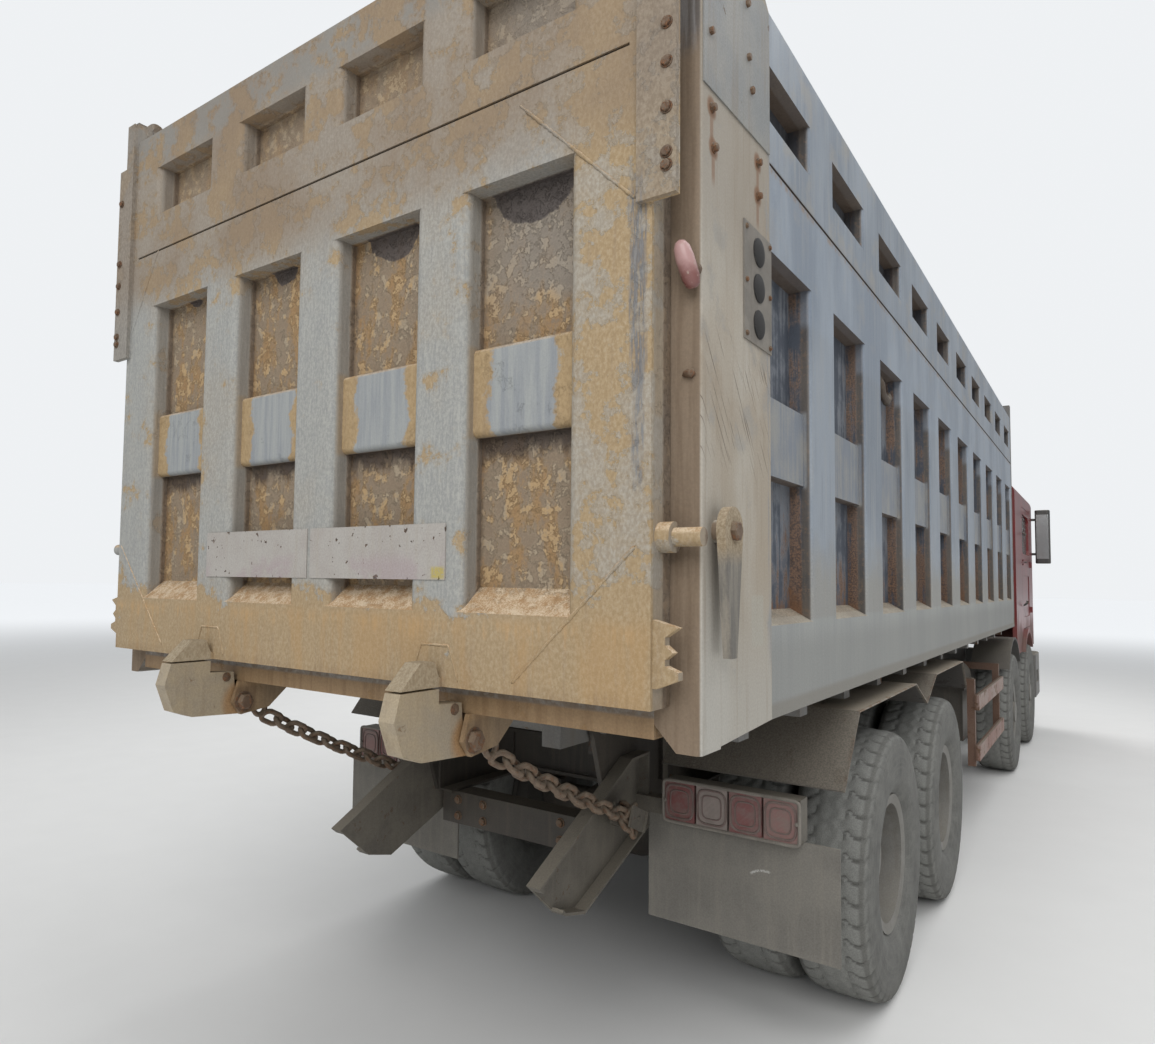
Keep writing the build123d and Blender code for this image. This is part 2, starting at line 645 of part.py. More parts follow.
with BuildPart() as underrun_arms:
    with BuildSketch(Plane.XZ.offset(-arm_inner_y)):
        with BuildLine():
            Polyline(*[(ahead(place), height) for place, height in arm_line], close=True)
        make_face()
    extrude(amount=-arm_depth)
    with BuildSketch(Plane.XZ.offset(-arm_inner_y - arm_wall)):
        with BuildLine():
            Polyline(*[(ahead(place), height) for place, height in arm_line], close=True)
        arm_face = make_face()
        offset(arm_face, amount=-arm_wall, kind=Kind.INTERSECTION, mode=Mode.REPLACE)
        with Locations((ahead(arm_line[0][0]) + 70, arm_line[1][1] + 50)):
            Rectangle(150, 150, rotation=-40)
    extrude(amount=-arm_depth, mode=Mode.SUBTRACT)
    for face in (-1, 1):
        plate_y = chain_y + face * (chain_bracket_reach + chain_bracket_wall / 2)
        with BuildSketch(Plane.XZ.offset(-plate_y)):
            with Locations(Location((ahead(chain_foot[0]), chain_foot[1], 0), (0, 0, chain_lean))):
                Rectangle(3 * chain_bracket_half, 2 * chain_bracket_half)
        extrude(amount=chain_bracket_wall / 2, both=True)
    with BuildSketch(Plane.XZ.offset(-arm_inner_y)):
        with Locations(Location((ahead(chain_foot[0]), chain_foot[1], 0), (0, 0, chain_lean))):
            with Locations((1.5 * chain_bracket_half - chain_bracket_wall / 2, 0)):
                Rectangle(chain_bracket_wall, 2 * chain_bracket_half)
    extrude(amount=-(chain_y + chain_pin_reach - arm_inner_y))
    with BuildSketch(Plane.XZ.offset(-arm_inner_y)):
        with Locations((ahead(chain_foot[0]), chain_foot[1])):
            Circle(chain_pin_radius)
    extrude(amount=-(chain_y + chain_pin_reach - arm_inner_y))
    with Locations((ahead(flap_ahead + 45), (lamp_inner_y + lamp_outer_y) / 2, (lamp_bottom + lamp_top) / 2)):
        Box(80, lamp_outer_y - lamp_inner_y, lamp_top - lamp_bottom)
    with Locations((ahead(flap_ahead + 40), (arm_inner_y + lamp_inner_y) / 2, 885)):
        Box(60, lamp_inner_y - arm_inner_y, 60)
    mirror(about=Plane.XZ)
save(underrun_arms, "underrun_arms")

# Mud flaps below the lamps
flap_bottom = 440.0
flap_thickness = 10.0
with BuildPart() as mud_flaps:
    with Locations((ahead(flap_ahead + 50), (flap_inner_y + flap_outer_y) / 2, (flap_bottom + lamp_bottom) / 2)):
        Box(flap_thickness, flap_outer_y - flap_inner_y, lamp_bottom - flap_bottom)
    mirror(about=Plane.XZ)
save(mud_flaps, "mud_flaps")

# Front bumper with its side returns and steps
bumper_bottom = 430.0
bumper_top = cab_hinge_height - 42.0
bumper_front_ahead = 10855.0
bumper_rear_ahead = 10160.0
bumper_thickness = 120.0
wing_inner_y = 1060.0
bumper_half_width = 1245.0
lamp_pocket = 60.0
headlamp_y = 980.0
headlamp_width = 300.0
headlamp_height = 190.0
headlamp_z = 700.0
headlamp_corner = 50.0
bumper_corner_radius = 150.0
cab_lug_y = 395.0
cab_lug_thickness = 24.0
cab_pin_radius = 20.0
with BuildPart() as front_bumper:
    with BuildSketch(Plane.XY.offset(bumper_bottom)):
        with BuildLine():
            Polyline(
                (ahead(bumper_front_ahead), 0),
                (ahead(bumper_front_ahead), bumper_half_width),
                (ahead(bumper_rear_ahead), bumper_half_width),
                (ahead(bumper_rear_ahead), wing_inner_y),
                (ahead(bumper_front_ahead - bumper_thickness - 60), wing_inner_y),
                (ahead(bumper_front_ahead - bumper_thickness), wing_inner_y - 60),
                (ahead(bumper_front_ahead - bumper_thickness), 0),
                close=True,
            )
        make_face()
        mirror(about=Plane.XZ)
    extrude(amount=bumper_top - bumper_bottom)
    front_edges = front_bumper.edges().filter_by(Axis.Z).filter_by_position(Axis.X, ahead(bumper_front_ahead - 1), ahead(bumper_front_ahead + 1))
    fillet(front_edges, bumper_corner_radius)
    fillet(front_bumper.faces().filter_by(Axis.Z).edges().filter_by(Axis.Y), 20)
    with BuildSketch(Plane.YZ.offset(ahead(bumper_front_ahead))):
        with Locations((0, bumper_bottom + 120)):
            RectangleRounded(900, 120, 30)
    extrude(amount=-40, mode=Mode.SUBTRACT)
    for side in (-1, 1):
        with BuildSketch(Plane.YZ.offset(ahead(bumper_front_ahead))):
            with Locations((side * (headlamp_y - 60), headlamp_z)):
                RectangleRounded(headlamp_width, headlamp_height, headlamp_corner)
        extrude(amount=-lamp_pocket, mode=Mode.SUBTRACT)
        with Locations((ahead(bumper_rear_ahead + 230), side * bumper_half_width, 680)):
            Box(340, 120, 150, mode=Mode.SUBTRACT)
        with Locations((ahead((rail_front_ahead + bumper_front_ahead - bumper_thickness) / 2), side * (rail_outer_y - 40), rail_bottom)):
            Box(bumper_front_ahead - bumper_thickness - rail_front_ahead, 80, 140)
        for face in (-1, 1):
            plate_y = side * (cab_lug_y + face * (cab_lug_thickness / 2 + running_gap + cab_lug_thickness / 2))
            with BuildSketch(Plane.XZ.offset(-plate_y)):
                with BuildLine():
                    Polyline(
                        (ahead(rail_front_ahead), rail_top - 40),
                        (ahead(cab_hinge_ahead - 30), cab_hinge_height + 40),
                        (ahead(cab_hinge_ahead + 35), cab_hinge_height + 40),
                        (ahead(cab_hinge_ahead + 35), cab_hinge_height - 40),
                        (ahead(rail_front_ahead), rail_bottom + 10),
                        close=True,
                    )
                make_face()
            extrude(amount=cab_lug_thickness / 2, both=True)
        with Locations(Location((ahead(cab_hinge_ahead), side * cab_lug_y, cab_hinge_height), (90, 0, 0))):
            Cylinder(cab_pin_radius, 3 * cab_lug_thickness + 2 * running_gap)
        with Locations((ahead(rail_front_ahead + 20), side * cab_lug_y, rail_bottom + rail_height / 2)):
            Box(40, 3 * cab_lug_thickness + 2 * running_gap, rail_height - 80)
save(front_bumper, "front_bumper")

# Lamps: four tail lamp lenses on each side and the headlamps in the bumper's pockets
lens_thickness = 20.0
lens_count = 4
with BuildPart() as lamps:
    lens_pitch = (lamp_outer_y - lamp_inner_y) / lens_count
    for number in range(lens_count):
        lens_y = lamp_inner_y + (number + 0.5) * lens_pitch
        with Locations((ahead(flap_ahead + 5) - lens_thickness / 2, lens_y, (lamp_bottom + lamp_top) / 2)):
            Box(lens_thickness, lens_pitch - 8, lamp_top - lamp_bottom - 10)
    mirror(about=Plane.XZ)
    for side in (-1, 1):
        with Locations((ahead(bumper_front_ahead) - lamp_pocket / 2 - 5, side * (headlamp_y - 60), headlamp_z)):
            headlamp = Box(lamp_pocket - 10, headlamp_width - 2 * pin_gap, headlamp_height - 2 * pin_gap)
    fillet(lamps.edges().filter_by(Axis.X).filter_by_position(Axis.X, ahead(bumper_front_ahead) - lamp_pocket, ahead(bumper_front_ahead)), headlamp_corner)
save(lamps, "lamps")

# Bed floor on two long beams, with cross bearers, rear beam, hinge shaft and hook brackets
beam_outer_y = 424.0
beam_width = 80.0
beam_bottom = sub_rail_top + running_gap
beam_rear_ahead = 700.0
beam_front_ahead = 7300.0
side_inner_y = bed_half_width - side_depth - plate_thickness
bearer_height = 70.0
bearer_width = 80.0
bearer_count = 13
bearer_pitch = 560.0
first_bearer_ahead = 500.0
rear_beam_height = 76.0
inside_front_ahead = bed_length - headboard_thickness
hook_y = 530.0
hook_width = 56.0
hook_pivot_ahead = 10.0
hook_pivot_height = 1320.0
hook_pin_radius = 18.0
ear_thickness = 16.0
with BuildPart() as bed_floor:
    with Locations((ahead((inside_front_ahead + post_depth) / 2), 0, floor_bottom + floor_thickness / 2)):
        Box(inside_front_ahead - post_depth, 2 * side_inner_y, floor_thickness)
    with Locations((ahead(post_depth / 2), 0, floor_bottom + rear_beam_height / 2)):
        Box(post_depth, 2 * post_inner_y, rear_beam_height)
    for side in (-1, 1):
        with Locations((ahead((beam_rear_ahead + beam_front_ahead) / 2), side * (beam_outer_y - beam_width / 2), (beam_bottom + floor_bottom) / 2)):
            Box(beam_front_ahead - beam_rear_ahead, beam_width, floor_bottom - beam_bottom)
    for number in range(bearer_count):
        place = first_bearer_ahead + number * bearer_pitch
        with Locations((ahead(place), 0, floor_bottom - bearer_height / 2)):
            Box(bearer_width, 2 * side_inner_y, bearer_height)
    with Locations(Location((ahead(hinge_ahead), 0, hinge_height), (90, 0, 0))):
        Cylinder(hinge_pin_radius, 2 * (rail_outer_y + bracket_thickness + 15))
        Cylinder(hinge_pin_radius + 25, 2 * beam_outer_y)
    for side in (-1, 1):
        for face in (-1, 1):
            ear_y = side * hook_y + face * (hook_width / 2 + running_gap + ear_thickness / 2)
            with BuildSketch(Plane.XZ.offset(-ear_y)):
                with BuildLine():
                    Polyline(
                        (ahead(-10), floor_bottom),
                        (ahead(-35), hook_pivot_height),
                        (ahead(0), hook_pivot_height - 45),
                        (ahead(120), hook_pivot_height - 30),
                        (ahead(250), floor_bottom),
                        close=True,
                    )
                make_face()
            extrude(amount=ear_thickness / 2, both=True)
        with Locations(Location((ahead(hook_pivot_ahead), side * hook_y, hook_pivot_height), (90, 0, 0))):
            Cylinder(hook_pin_radius, hook_width + 2 * running_gap + 2 * ear_thickness + 40)
save(bed_floor, "bed_floor")

# Bed sides: a slab with sunk panels between ribs, and a taller rear post
window_width = rib_pitch - rib_width
window_starts = [post_width] + [first_rib_ahead + rib_width + rib_pitch * number for number in range(rib_count)]
window_ends = [first_rib_ahead] + [start + window_width for start in window_starts[1:]]
ledge_slope = 0.57
crosspiece_depth = 25.0
rib_edge_radius = 14.0
window_low = 1650.0
window_high = 2716.0
crosspiece_low = 2080.0
crosspiece_high = 2310.0
top_window_low = side_top - 321.0
top_window_high = side_top - 156.0
seam_height = 2968.0
seam_width = 8.0
# Columns: lower height at the face, upper height
side_wells = ((window_low, window_high), (top_window_low, top_window_high))
# Columns: lower height at the face, upper height, slope of the lower edge
side_panels = (
    (window_low, crosspiece_low, ledge_slope),
    (crosspiece_high, window_high, 0.0),
    (top_window_low, top_window_high, ledge_slope),
)
post_ear_length = 160.0
lever_ahead = 90.0
lever_height = 1890.0
lever_boss_radius = 28.0
lever_boss_reach = 46.0
lever_thickness = 22.0
lever_top_radius = 58.0
lever_foot_width = 34.0
lever_length = 300.0
post_edge_radius = 16.0
post_ear_thickness = 40.0
with BuildPart() as bed_right_side:
    with Locations((ahead(inside_front_ahead / 2), -(side_inner_y + bed_half_width) / 2, (floor_bottom + side_top) / 2)):
        Box(inside_front_ahead, bed_half_width - side_inner_y, side_top - floor_bottom)
    for start, end in zip(window_starts, window_ends):
        for low, high in side_wells:
            with BuildSketch(Plane.YZ.offset(ahead(start))):
                with BuildLine():
                    Polyline(*well_corners(-bed_half_width, low, high, crosspiece_depth, ledge_slope), close=True)
                make_face()
            extrude(amount=end - start, mode=Mode.SUBTRACT)
    face_edges = bed_right_side.edges().filter_by(Axis.Z).filter_by_position(Axis.Y, -bed_half_width, 1 - bed_half_width)
    fillet(face_edges.filter_by_position(Axis.X, ahead(1), ahead(inside_front_ahead - 1)), rib_edge_radius)
    for start, end in zip(window_starts, window_ends):
        for low, high, slope in side_panels:
            with BuildSketch(Plane.YZ.offset(ahead(start))):
                with BuildLine():
                    corners = well_corners(-bed_half_width, low, high, side_depth, slope, crosspiece_depth - 5)
                    Polyline(*corners, close=True)
                make_face()
            extrude(amount=end - start, mode=Mode.SUBTRACT)
    with Locations((ahead((post_width + inside_front_ahead) / 2), -bed_half_width, seam_height)):
        Box(inside_front_ahead - post_width, 2 * seam_width, seam_width, mode=Mode.SUBTRACT)
    with BuildSketch(Plane.YZ.offset(ahead(0))):
        with BuildLine():
            Polyline(
                (-bed_half_width, post_bottom),
                (-bed_half_width + 60, post_bottom),
                (-post_inner_y, post_bottom + 60),
                (-post_inner_y, side_top),
                (-bed_half_width, side_top),
                close=True,
            )
        make_face()
    extrude(amount=post_depth)
    with BuildSketch(Plane.XZ.offset(bed_half_width)):
        with BuildLine():
            Polyline(
                (ahead(0), post_bottom),
                (ahead(post_width), floor_bottom),
                (ahead(post_width), side_top),
                (ahead(post_ear_length), gate_hinge_height + 50),
                (ahead(gate_hinge_ahead - 45), gate_hinge_height + 50),
                (ahead(gate_hinge_ahead - 45), gate_hinge_height - 60),
                (ahead(0), gate_hinge_height - 120),
                close=True,
            )
        make_face()
        with Locations((ahead(gate_hinge_ahead), gate_hinge_height)):
            Circle(gate_pin_radius, mode=Mode.SUBTRACT)
    extrude(amount=-post_ear_thickness)
    rear_edges = bed_right_side.edges().filter_by(Axis.Z).filter_by_position(Axis.X, ahead(-1), ahead(1))
    fillet(rear_edges.filter_by_position(Axis.Y, -bed_half_width - 1, 1 - bed_half_width), post_edge_radius)
    with Locations(Location((ahead(gate_hinge_ahead), -bed_half_width + 55, gate_hinge_height), (90, 0, 0))):
        Cylinder(gate_pin_radius, 110)
    with Locations(Location((ahead(lever_ahead), -bed_half_width - lever_boss_reach / 2, lever_height), (90, 0, 0))):
        Cylinder(lever_boss_radius, lever_boss_reach)
    with BuildSketch(Plane.XZ.offset(bed_half_width + lever_boss_reach - lever_thickness)):
        with BuildLine():
            Polyline(
                (ahead(lever_ahead) - lever_top_radius, lever_height + 10),
                (ahead(lever_ahead) - lever_foot_width / 2, lever_height - lever_length),
                (ahead(lever_ahead) + lever_foot_width / 2, lever_height - lever_length),
                (ahead(lever_ahead) + lever_top_radius, lever_height + 10),
                close=True,
            )
        make_face()
        with Locations((ahead(lever_ahead), lever_height)):
            Circle(lever_top_radius)
    extrude(amount=lever_thickness)
save(bed_right_side, "bed_right_side")

with BuildPart() as bed_left_side:
    mirror(bed_right_side.part, about=Plane.XZ)
save(bed_left_side, "bed_left_side")

# Headboard with the bracket that takes the hoist's head
eye_pin_radius = 30.0
eye_slot_radius = eye_pin_radius + 17.0
eye_ear_thickness = 25.0
eye_half_width = 62.0
with BuildPart() as bed_headboard:
    with Locations((ahead(bed_length - headboard_thickness / 2), 0, (floor_bottom + headboard_top) / 2)):
        Box(headboard_thickness, 2 * bed_half_width, headboard_top - floor_bottom)
    for side in (-1, 1):
        ear_y = side * (eye_half_width + running_gap + eye_ear_thickness / 2)
        with BuildSketch(Plane.XZ.offset(-ear_y)):
            with BuildLine():
                Polyline(
                    (ahead(bed_length), hoist_eye_height + 200),
                    (ahead(hoist_ahead - 50), hoist_eye_height + 90),
                    (ahead(hoist_ahead + 90), hoist_eye_height + 60),
                    (ahead(hoist_ahead + 90), hoist_eye_height - 45),
                    (ahead(hoist_ahead - 50), hoist_eye_height - 70),
                    (ahead(bed_length), hoist_eye_height - 330),
                    close=True,
                )
            make_face()
            with Locations((ahead(hoist_ahead), hoist_eye_height)):
                Circle(eye_slot_radius, mode=Mode.SUBTRACT)
                with Locations(Location((150 * 0.46, -150 * 0.89, 0), (0, 0, -62.5))):
                    Rectangle(300, 2 * eye_slot_radius, mode=Mode.SUBTRACT)
        extrude(amount=eye_ear_thickness / 2, both=True)
save(bed_headboard, "bed_headboard")

# Hooks that hold the tailgate's lower edge
with BuildPart() as lower_hooks:
    for side in (-1, 1):
        with BuildSketch(Plane.XZ.offset(-side * hook_y)):
            with BuildLine():
                Polyline(
                    (ahead(hook_pivot_ahead + 45), hook_pivot_height),
                    (ahead(hook_pivot_ahead + 10), hook_pivot_height + 44),
                    (ahead(-14), hook_pivot_height + 55),
                    (ahead(-20), 1425),
                    (ahead(gate_outer - 10), 1430),
                    (ahead(gate_outer - 10), gate_bottom - running_gap),
                    (ahead(-264), gate_bottom - running_gap),
                    (ahead(-285), 1400),
                    (ahead(-250), 1310),
                    (ahead(-180), 1285),
                    (ahead(hook_pivot_ahead), hook_pivot_height - 45),
                    close=True,
                )
            make_face()
            with Locations((ahead(hook_pivot_ahead), hook_pivot_height)):
                Circle(hook_pin_radius + pin_gap, mode=Mode.SUBTRACT)
        extrude(amount=hook_width / 2, both=True)
save(lower_hooks, "lower_hooks")

# Tailgate: a slab with sunk panels between stiles, hung on two straps
# Columns: edge nearer the left, edge nearer the right
gate_columns = ((974.0, 635.0), (433.0, 103.0), (-93.0, -428.0), (-622.0, -951.0))
gate_ledge_slope = 0.84
gate_crosspiece_depth = 38.0
stile_edge_radius = 26.0
crosspiece_edge_radius = 18.0
gate_window_low = 1679.0
gate_window_high = 2831.0
gate_crosspiece_low = 2155.0
gate_crosspiece_high = 2400.0
gate_top_window_low = gate_top - 346.0
gate_top_window_high = gate_top - 152.0
gate_seam_height = 3050.0
# Columns: lower height at the face, upper height
gate_wells = ((gate_window_low, gate_window_high), (gate_top_window_low, gate_top_window_high))
# Columns: lower height at the face, upper height, slope of the lower edge
gate_panels = (
    (gate_window_low, gate_crosspiece_low, gate_ledge_slope),
    (gate_crosspiece_high, gate_window_high, 0.0),
    (gate_top_window_low, gate_top_window_high, gate_ledge_slope),
)
strap_bottom = gate_top - 901.0
catch_height = 68.0
edge_pin_ahead = -52.0
edge_pin_height = 1870.0
edge_pin_reach = 1280.0
edge_pin_radius = 22.0
edge_sleeve_radius = 36.0
rack_low = 1527.0
rack_height = 156.0
rack_thickness = 25.0
# Columns: reach beyond the gate's edge, height above the bracket's foot
rack_teeth = ((62.0, 22.0), (62.0, 40.0), (30.0, 52.0), (30.0, 66.0), (50.0, 82.0), (30.0, 98.0), (30.0, 116.0), (62.0, 138.0))
strap_inner_y = 1145.0
strap_outer_y = 1245.0
strap_top = gate_top - 106.0
eye_outer_y = 1196.0
strap_thickness = 22.0
with BuildPart() as tailgate:
    with Locations((ahead((gate_outer - running_gap) / 2), 0, (gate_bottom + gate_top) / 2)):
        Box(-gate_outer - running_gap, 2 * gate_half_width, gate_top - gate_bottom)
    for left_edge, right_edge in gate_columns:
        for low, high in gate_wells:
            with BuildSketch(Plane.XZ.offset(-left_edge)):
                with BuildLine():
                    corners = well_corners(ahead(gate_outer), low, high, gate_crosspiece_depth, gate_ledge_slope)
                    Polyline(*corners, close=True)
                make_face()
            extrude(amount=left_edge - right_edge, mode=Mode.SUBTRACT)
    face_edges = tailgate.edges().filter_by(Axis.Z).filter_by_position(Axis.X, ahead(gate_outer), ahead(gate_outer + 1))
    fillet(face_edges.filter_by_position(Axis.Y, 1 - gate_half_width, gate_half_width - 1), stile_edge_radius)
    for left_edge, right_edge in gate_columns:
        for low, high, slope in gate_panels:
            with BuildSketch(Plane.XZ.offset(-left_edge)):
                with BuildLine():
                    corners = well_corners(ahead(gate_outer), low, high, gate_recess, slope, gate_crosspiece_depth - 6)
                    Polyline(*corners, close=True)
                make_face()
            extrude(amount=left_edge - right_edge, mode=Mode.SUBTRACT)
    bar_face = ahead(gate_outer + gate_crosspiece_depth)
    bar_edges = tailgate.edges().filter_by(Axis.Y).filter_by_position(Axis.X, bar_face - 1, bar_face + 1)
    bar_edges = bar_edges.filter_by_position(Axis.Z, gate_crosspiece_low - 1, gate_crosspiece_high + 1)
    fillet(bar_edges, crosspiece_edge_radius)
    with Locations((ahead(gate_outer), 0, gate_seam_height)):
        Box(2 * seam_width, 2 * (gate_half_width - 60), seam_width, mode=Mode.SUBTRACT)
    for side in (-1, 1):
        with BuildSketch(Plane.XZ.offset(-side * hook_y)):
            with BuildLine():
                Polyline(
                    (ahead(gate_outer + 1), gate_bottom),
                    (ahead(gate_outer + 1), gate_bottom + 20),
                    (ahead(gate_outer - 12), gate_bottom + 28),
                    (ahead(gate_outer - 30), gate_bottom + catch_height),
                    (ahead(gate_outer - 85), gate_bottom + catch_height),
                    (ahead(-264), gate_bottom),
                    close=True,
                )
            make_face()
        extrude(amount=hook_width / 2, both=True)
        with Locations(Location((ahead(edge_pin_ahead), side * (gate_half_width + 10), edge_pin_height), (90, 0, 0))):
            Cylinder(edge_sleeve_radius, 50)
        with Locations(Location((ahead(edge_pin_ahead), side * (gate_half_width + edge_pin_reach) / 2, edge_pin_height), (90, 0, 0))):
            Cylinder(edge_pin_radius, edge_pin_reach - gate_half_width)
        with BuildSketch(Plane.YZ.offset(ahead(gate_outer + 10))):
            with BuildLine():
                Polyline(
                    (side * (gate_half_width - 5), rack_low),
                    (side * (gate_half_width + 10), rack_low),
                    *[(side * (gate_half_width + reach), rack_low + rise) for reach, rise in rack_teeth],
                    (side * (gate_half_width - 5), rack_low + rack_height),
                    close=True,
                )
            make_face()
        extrude(amount=rack_thickness)
        strap_y = side * (strap_inner_y + strap_outer_y) / 2
        with Locations((ahead(gate_outer - strap_thickness / 2 + 1), strap_y, (strap_bottom + strap_top) / 2)):
            Box(strap_thickness, strap_outer_y - strap_inner_y, strap_top - strap_bottom)
        upper_y = side * (strap_inner_y + eye_outer_y) / 2
        with Locations((ahead(gate_outer - strap_thickness / 2 + 1), upper_y, (strap_top + gate_hinge_height) / 2)):
            Box(strap_thickness, eye_outer_y - strap_inner_y, gate_hinge_height - strap_top)
        with BuildSketch(Plane.XZ.offset(-upper_y)):
            with Locations((ahead((gate_outer + gate_hinge_ahead) / 2), (gate_top + gate_hinge_height) / 2)):
                Rectangle(gate_hinge_ahead - gate_outer + 10, gate_hinge_height - gate_top + 10)
            with Locations((ahead(gate_hinge_ahead), gate_hinge_height)):
                Circle(2 * gate_pin_radius)
                Circle(gate_pin_radius + pin_gap, mode=Mode.SUBTRACT)
        extrude(amount=(eye_outer_y - strap_inner_y) / 2, both=True)
save(tailgate, "tailgate")

# Chains from the frame's arms to the hook brackets, both on one swinging body
with BuildPart() as hook_chains:
    for side in (-1, 1):
        for number in range(link_total):
            share = (first_link_reach + number * link_pitch) / chain_run
            middle = (
                ahead(chain_foot[0]) + share * chain_vector.X,
                side * chain_y,
                chain_foot[1] + share * chain_vector.Z,
            )
            lean = (chain_vector.Z, 0, -chain_vector.X) if number % 2 else (0, -1, 0)
            link_plane = Plane(origin=middle, x_dir=chain_vector, z_dir=lean)
            with BuildSketch(link_plane):
                outer = Rectangle(link_length, link_width)
                chamfer(outer.vertices(), link_width / 3)
                inner_length = link_length - 2 * link_bar
                inner_width = link_width - 2 * link_bar
                with BuildSketch(mode=Mode.SUBTRACT):
                    inner = Rectangle(inner_length, inner_width)
                    chamfer(inner.vertices(), inner_width / 3)
            extrude(amount=link_bar / 2, both=True)
save(hook_chains, "hook_chains")

# Hoist: an outer tube on trunnions and three stages, the last with the head pin
hoist_tube_bottom = hoist_foot_height - hoist_trunnion_radius - 3
hoist_tube_top = 2400.0
stage_bottom = hoist_foot_height + 50
stage_step = 40.0
with BuildPart() as hoist_tube:
    with BuildSketch(Plane.XY.offset(hoist_tube_bottom)):
        with Locations((ahead(hoist_ahead), 0)):
            Circle(hoist_tube_radius)
    extrude(amount=hoist_tube_top - hoist_tube_bottom)
    with BuildSketch(Plane.XY.offset(stage_bottom - 1)):
        with Locations((ahead(hoist_ahead), 0)):
            Circle(hoist_stage_radii[0] + hoist_stage_gap)
    extrude(amount=hoist_tube_top - stage_bottom + 1, mode=Mode.SUBTRACT)
    trunnion_end = hoist_tube_radius + hoist_ear_gap + hoist_ear_thickness + 10
    for side in (-1, 1):
        with Locations(Location((ahead(hoist_ahead), side * (trunnion_end + 60) / 2, hoist_foot_height), (90, 0, 0))):
            Cylinder(hoist_trunnion_radius, trunnion_end - 60)
save(hoist_tube, "hoist_tube")

for number, radius in enumerate(hoist_stage_radii, 1):
    stage_top = hoist_tube_top + number * stage_step
    with BuildPart() as stage:
        with BuildSketch(Plane.XY.offset(stage_bottom)):
            with Locations((ahead(hoist_ahead), 0)):
                Circle(radius)
                if number < len(hoist_stage_radii):
                    Circle(hoist_stage_radii[number] + hoist_stage_gap, mode=Mode.SUBTRACT)
        extrude(amount=stage_top - stage_bottom)
        if number == len(hoist_stage_radii):
            with Locations((ahead(hoist_ahead), 0, (stage_top + hoist_eye_height) / 2)):
                Cylinder(45, hoist_eye_height - stage_top)
            with Locations(Location((ahead(hoist_ahead), 0, hoist_eye_height), (90, 0, 0))):
                Cylinder(60, 2 * eye_half_width)
                Cylinder(eye_pin_radius, 2 * (eye_half_width + running_gap + eye_ear_thickness))
    save(stage, f"hoist_stage_{number}")

# Cab shell: a hollow body whose side outline is cut to the plan with round front corners
cab_belt = 1960.0
windscreen_lean = 150.0
windscreen_low = 2010.0
windscreen_high = 2690.0
windscreen_half_width = 1010.0
windscreen_corner = 90.0
cab_corner_radius = 190.0
roof_radius = 110.0
roof_brow = 150.0
arch_cut_radius = 690.0
arch_lip = 45.0
arch_lip_proud = 34.0
floor_plate = 60.0
skirt_thickness = 40.0
cab_middle_ahead = (cab_rear_ahead + cab_front_ahead) / 2
cab_length = cab_front_ahead - cab_rear_ahead
# Columns: distance back from the front, height
cab_line = (
    (windscreen_lean + 260.0, cab_roof),
    (windscreen_lean + 60.0, cab_roof - 60.0),
    (windscreen_lean, cab_roof - roof_brow),
    (0.0, cab_belt),
    (0.0, cab_floor),
)
with BuildPart() as cab_space:
    with BuildSketch(Plane.XZ):
        with BuildLine():
            Polyline(
                (ahead(cab_rear_ahead + cab_wall), cab_floor + floor_plate),
                (ahead(cab_rear_ahead + cab_wall), cab_roof - cab_wall),
                (ahead(cab_front_ahead - cab_wall - windscreen_lean - 230), cab_roof - cab_wall),
                (ahead(cab_front_ahead - cab_wall - windscreen_lean - 10), cab_roof - 160),
                (ahead(cab_front_ahead - cab_wall), cab_belt),
                (ahead(cab_front_ahead - cab_wall), cab_floor + floor_plate),
                close=True,
            )
        make_face()
    extrude(amount=cab_half_width - cab_wall, both=True)
    with BuildSketch(Plane.XY.offset(cab_floor)):
        with Locations((ahead(cab_middle_ahead), 0)):
            RectangleRounded(cab_length - 2 * cab_wall, 2 * (cab_half_width - cab_wall), cab_corner_radius - cab_wall)
        with Locations((ahead(cab_middle_ahead) - cab_length / 4, 0)):
            Rectangle(cab_length / 2 - 2 * cab_wall, 2 * (cab_half_width - cab_wall))
    extrude(amount=cab_roof - cab_floor, mode=Mode.INTERSECT)
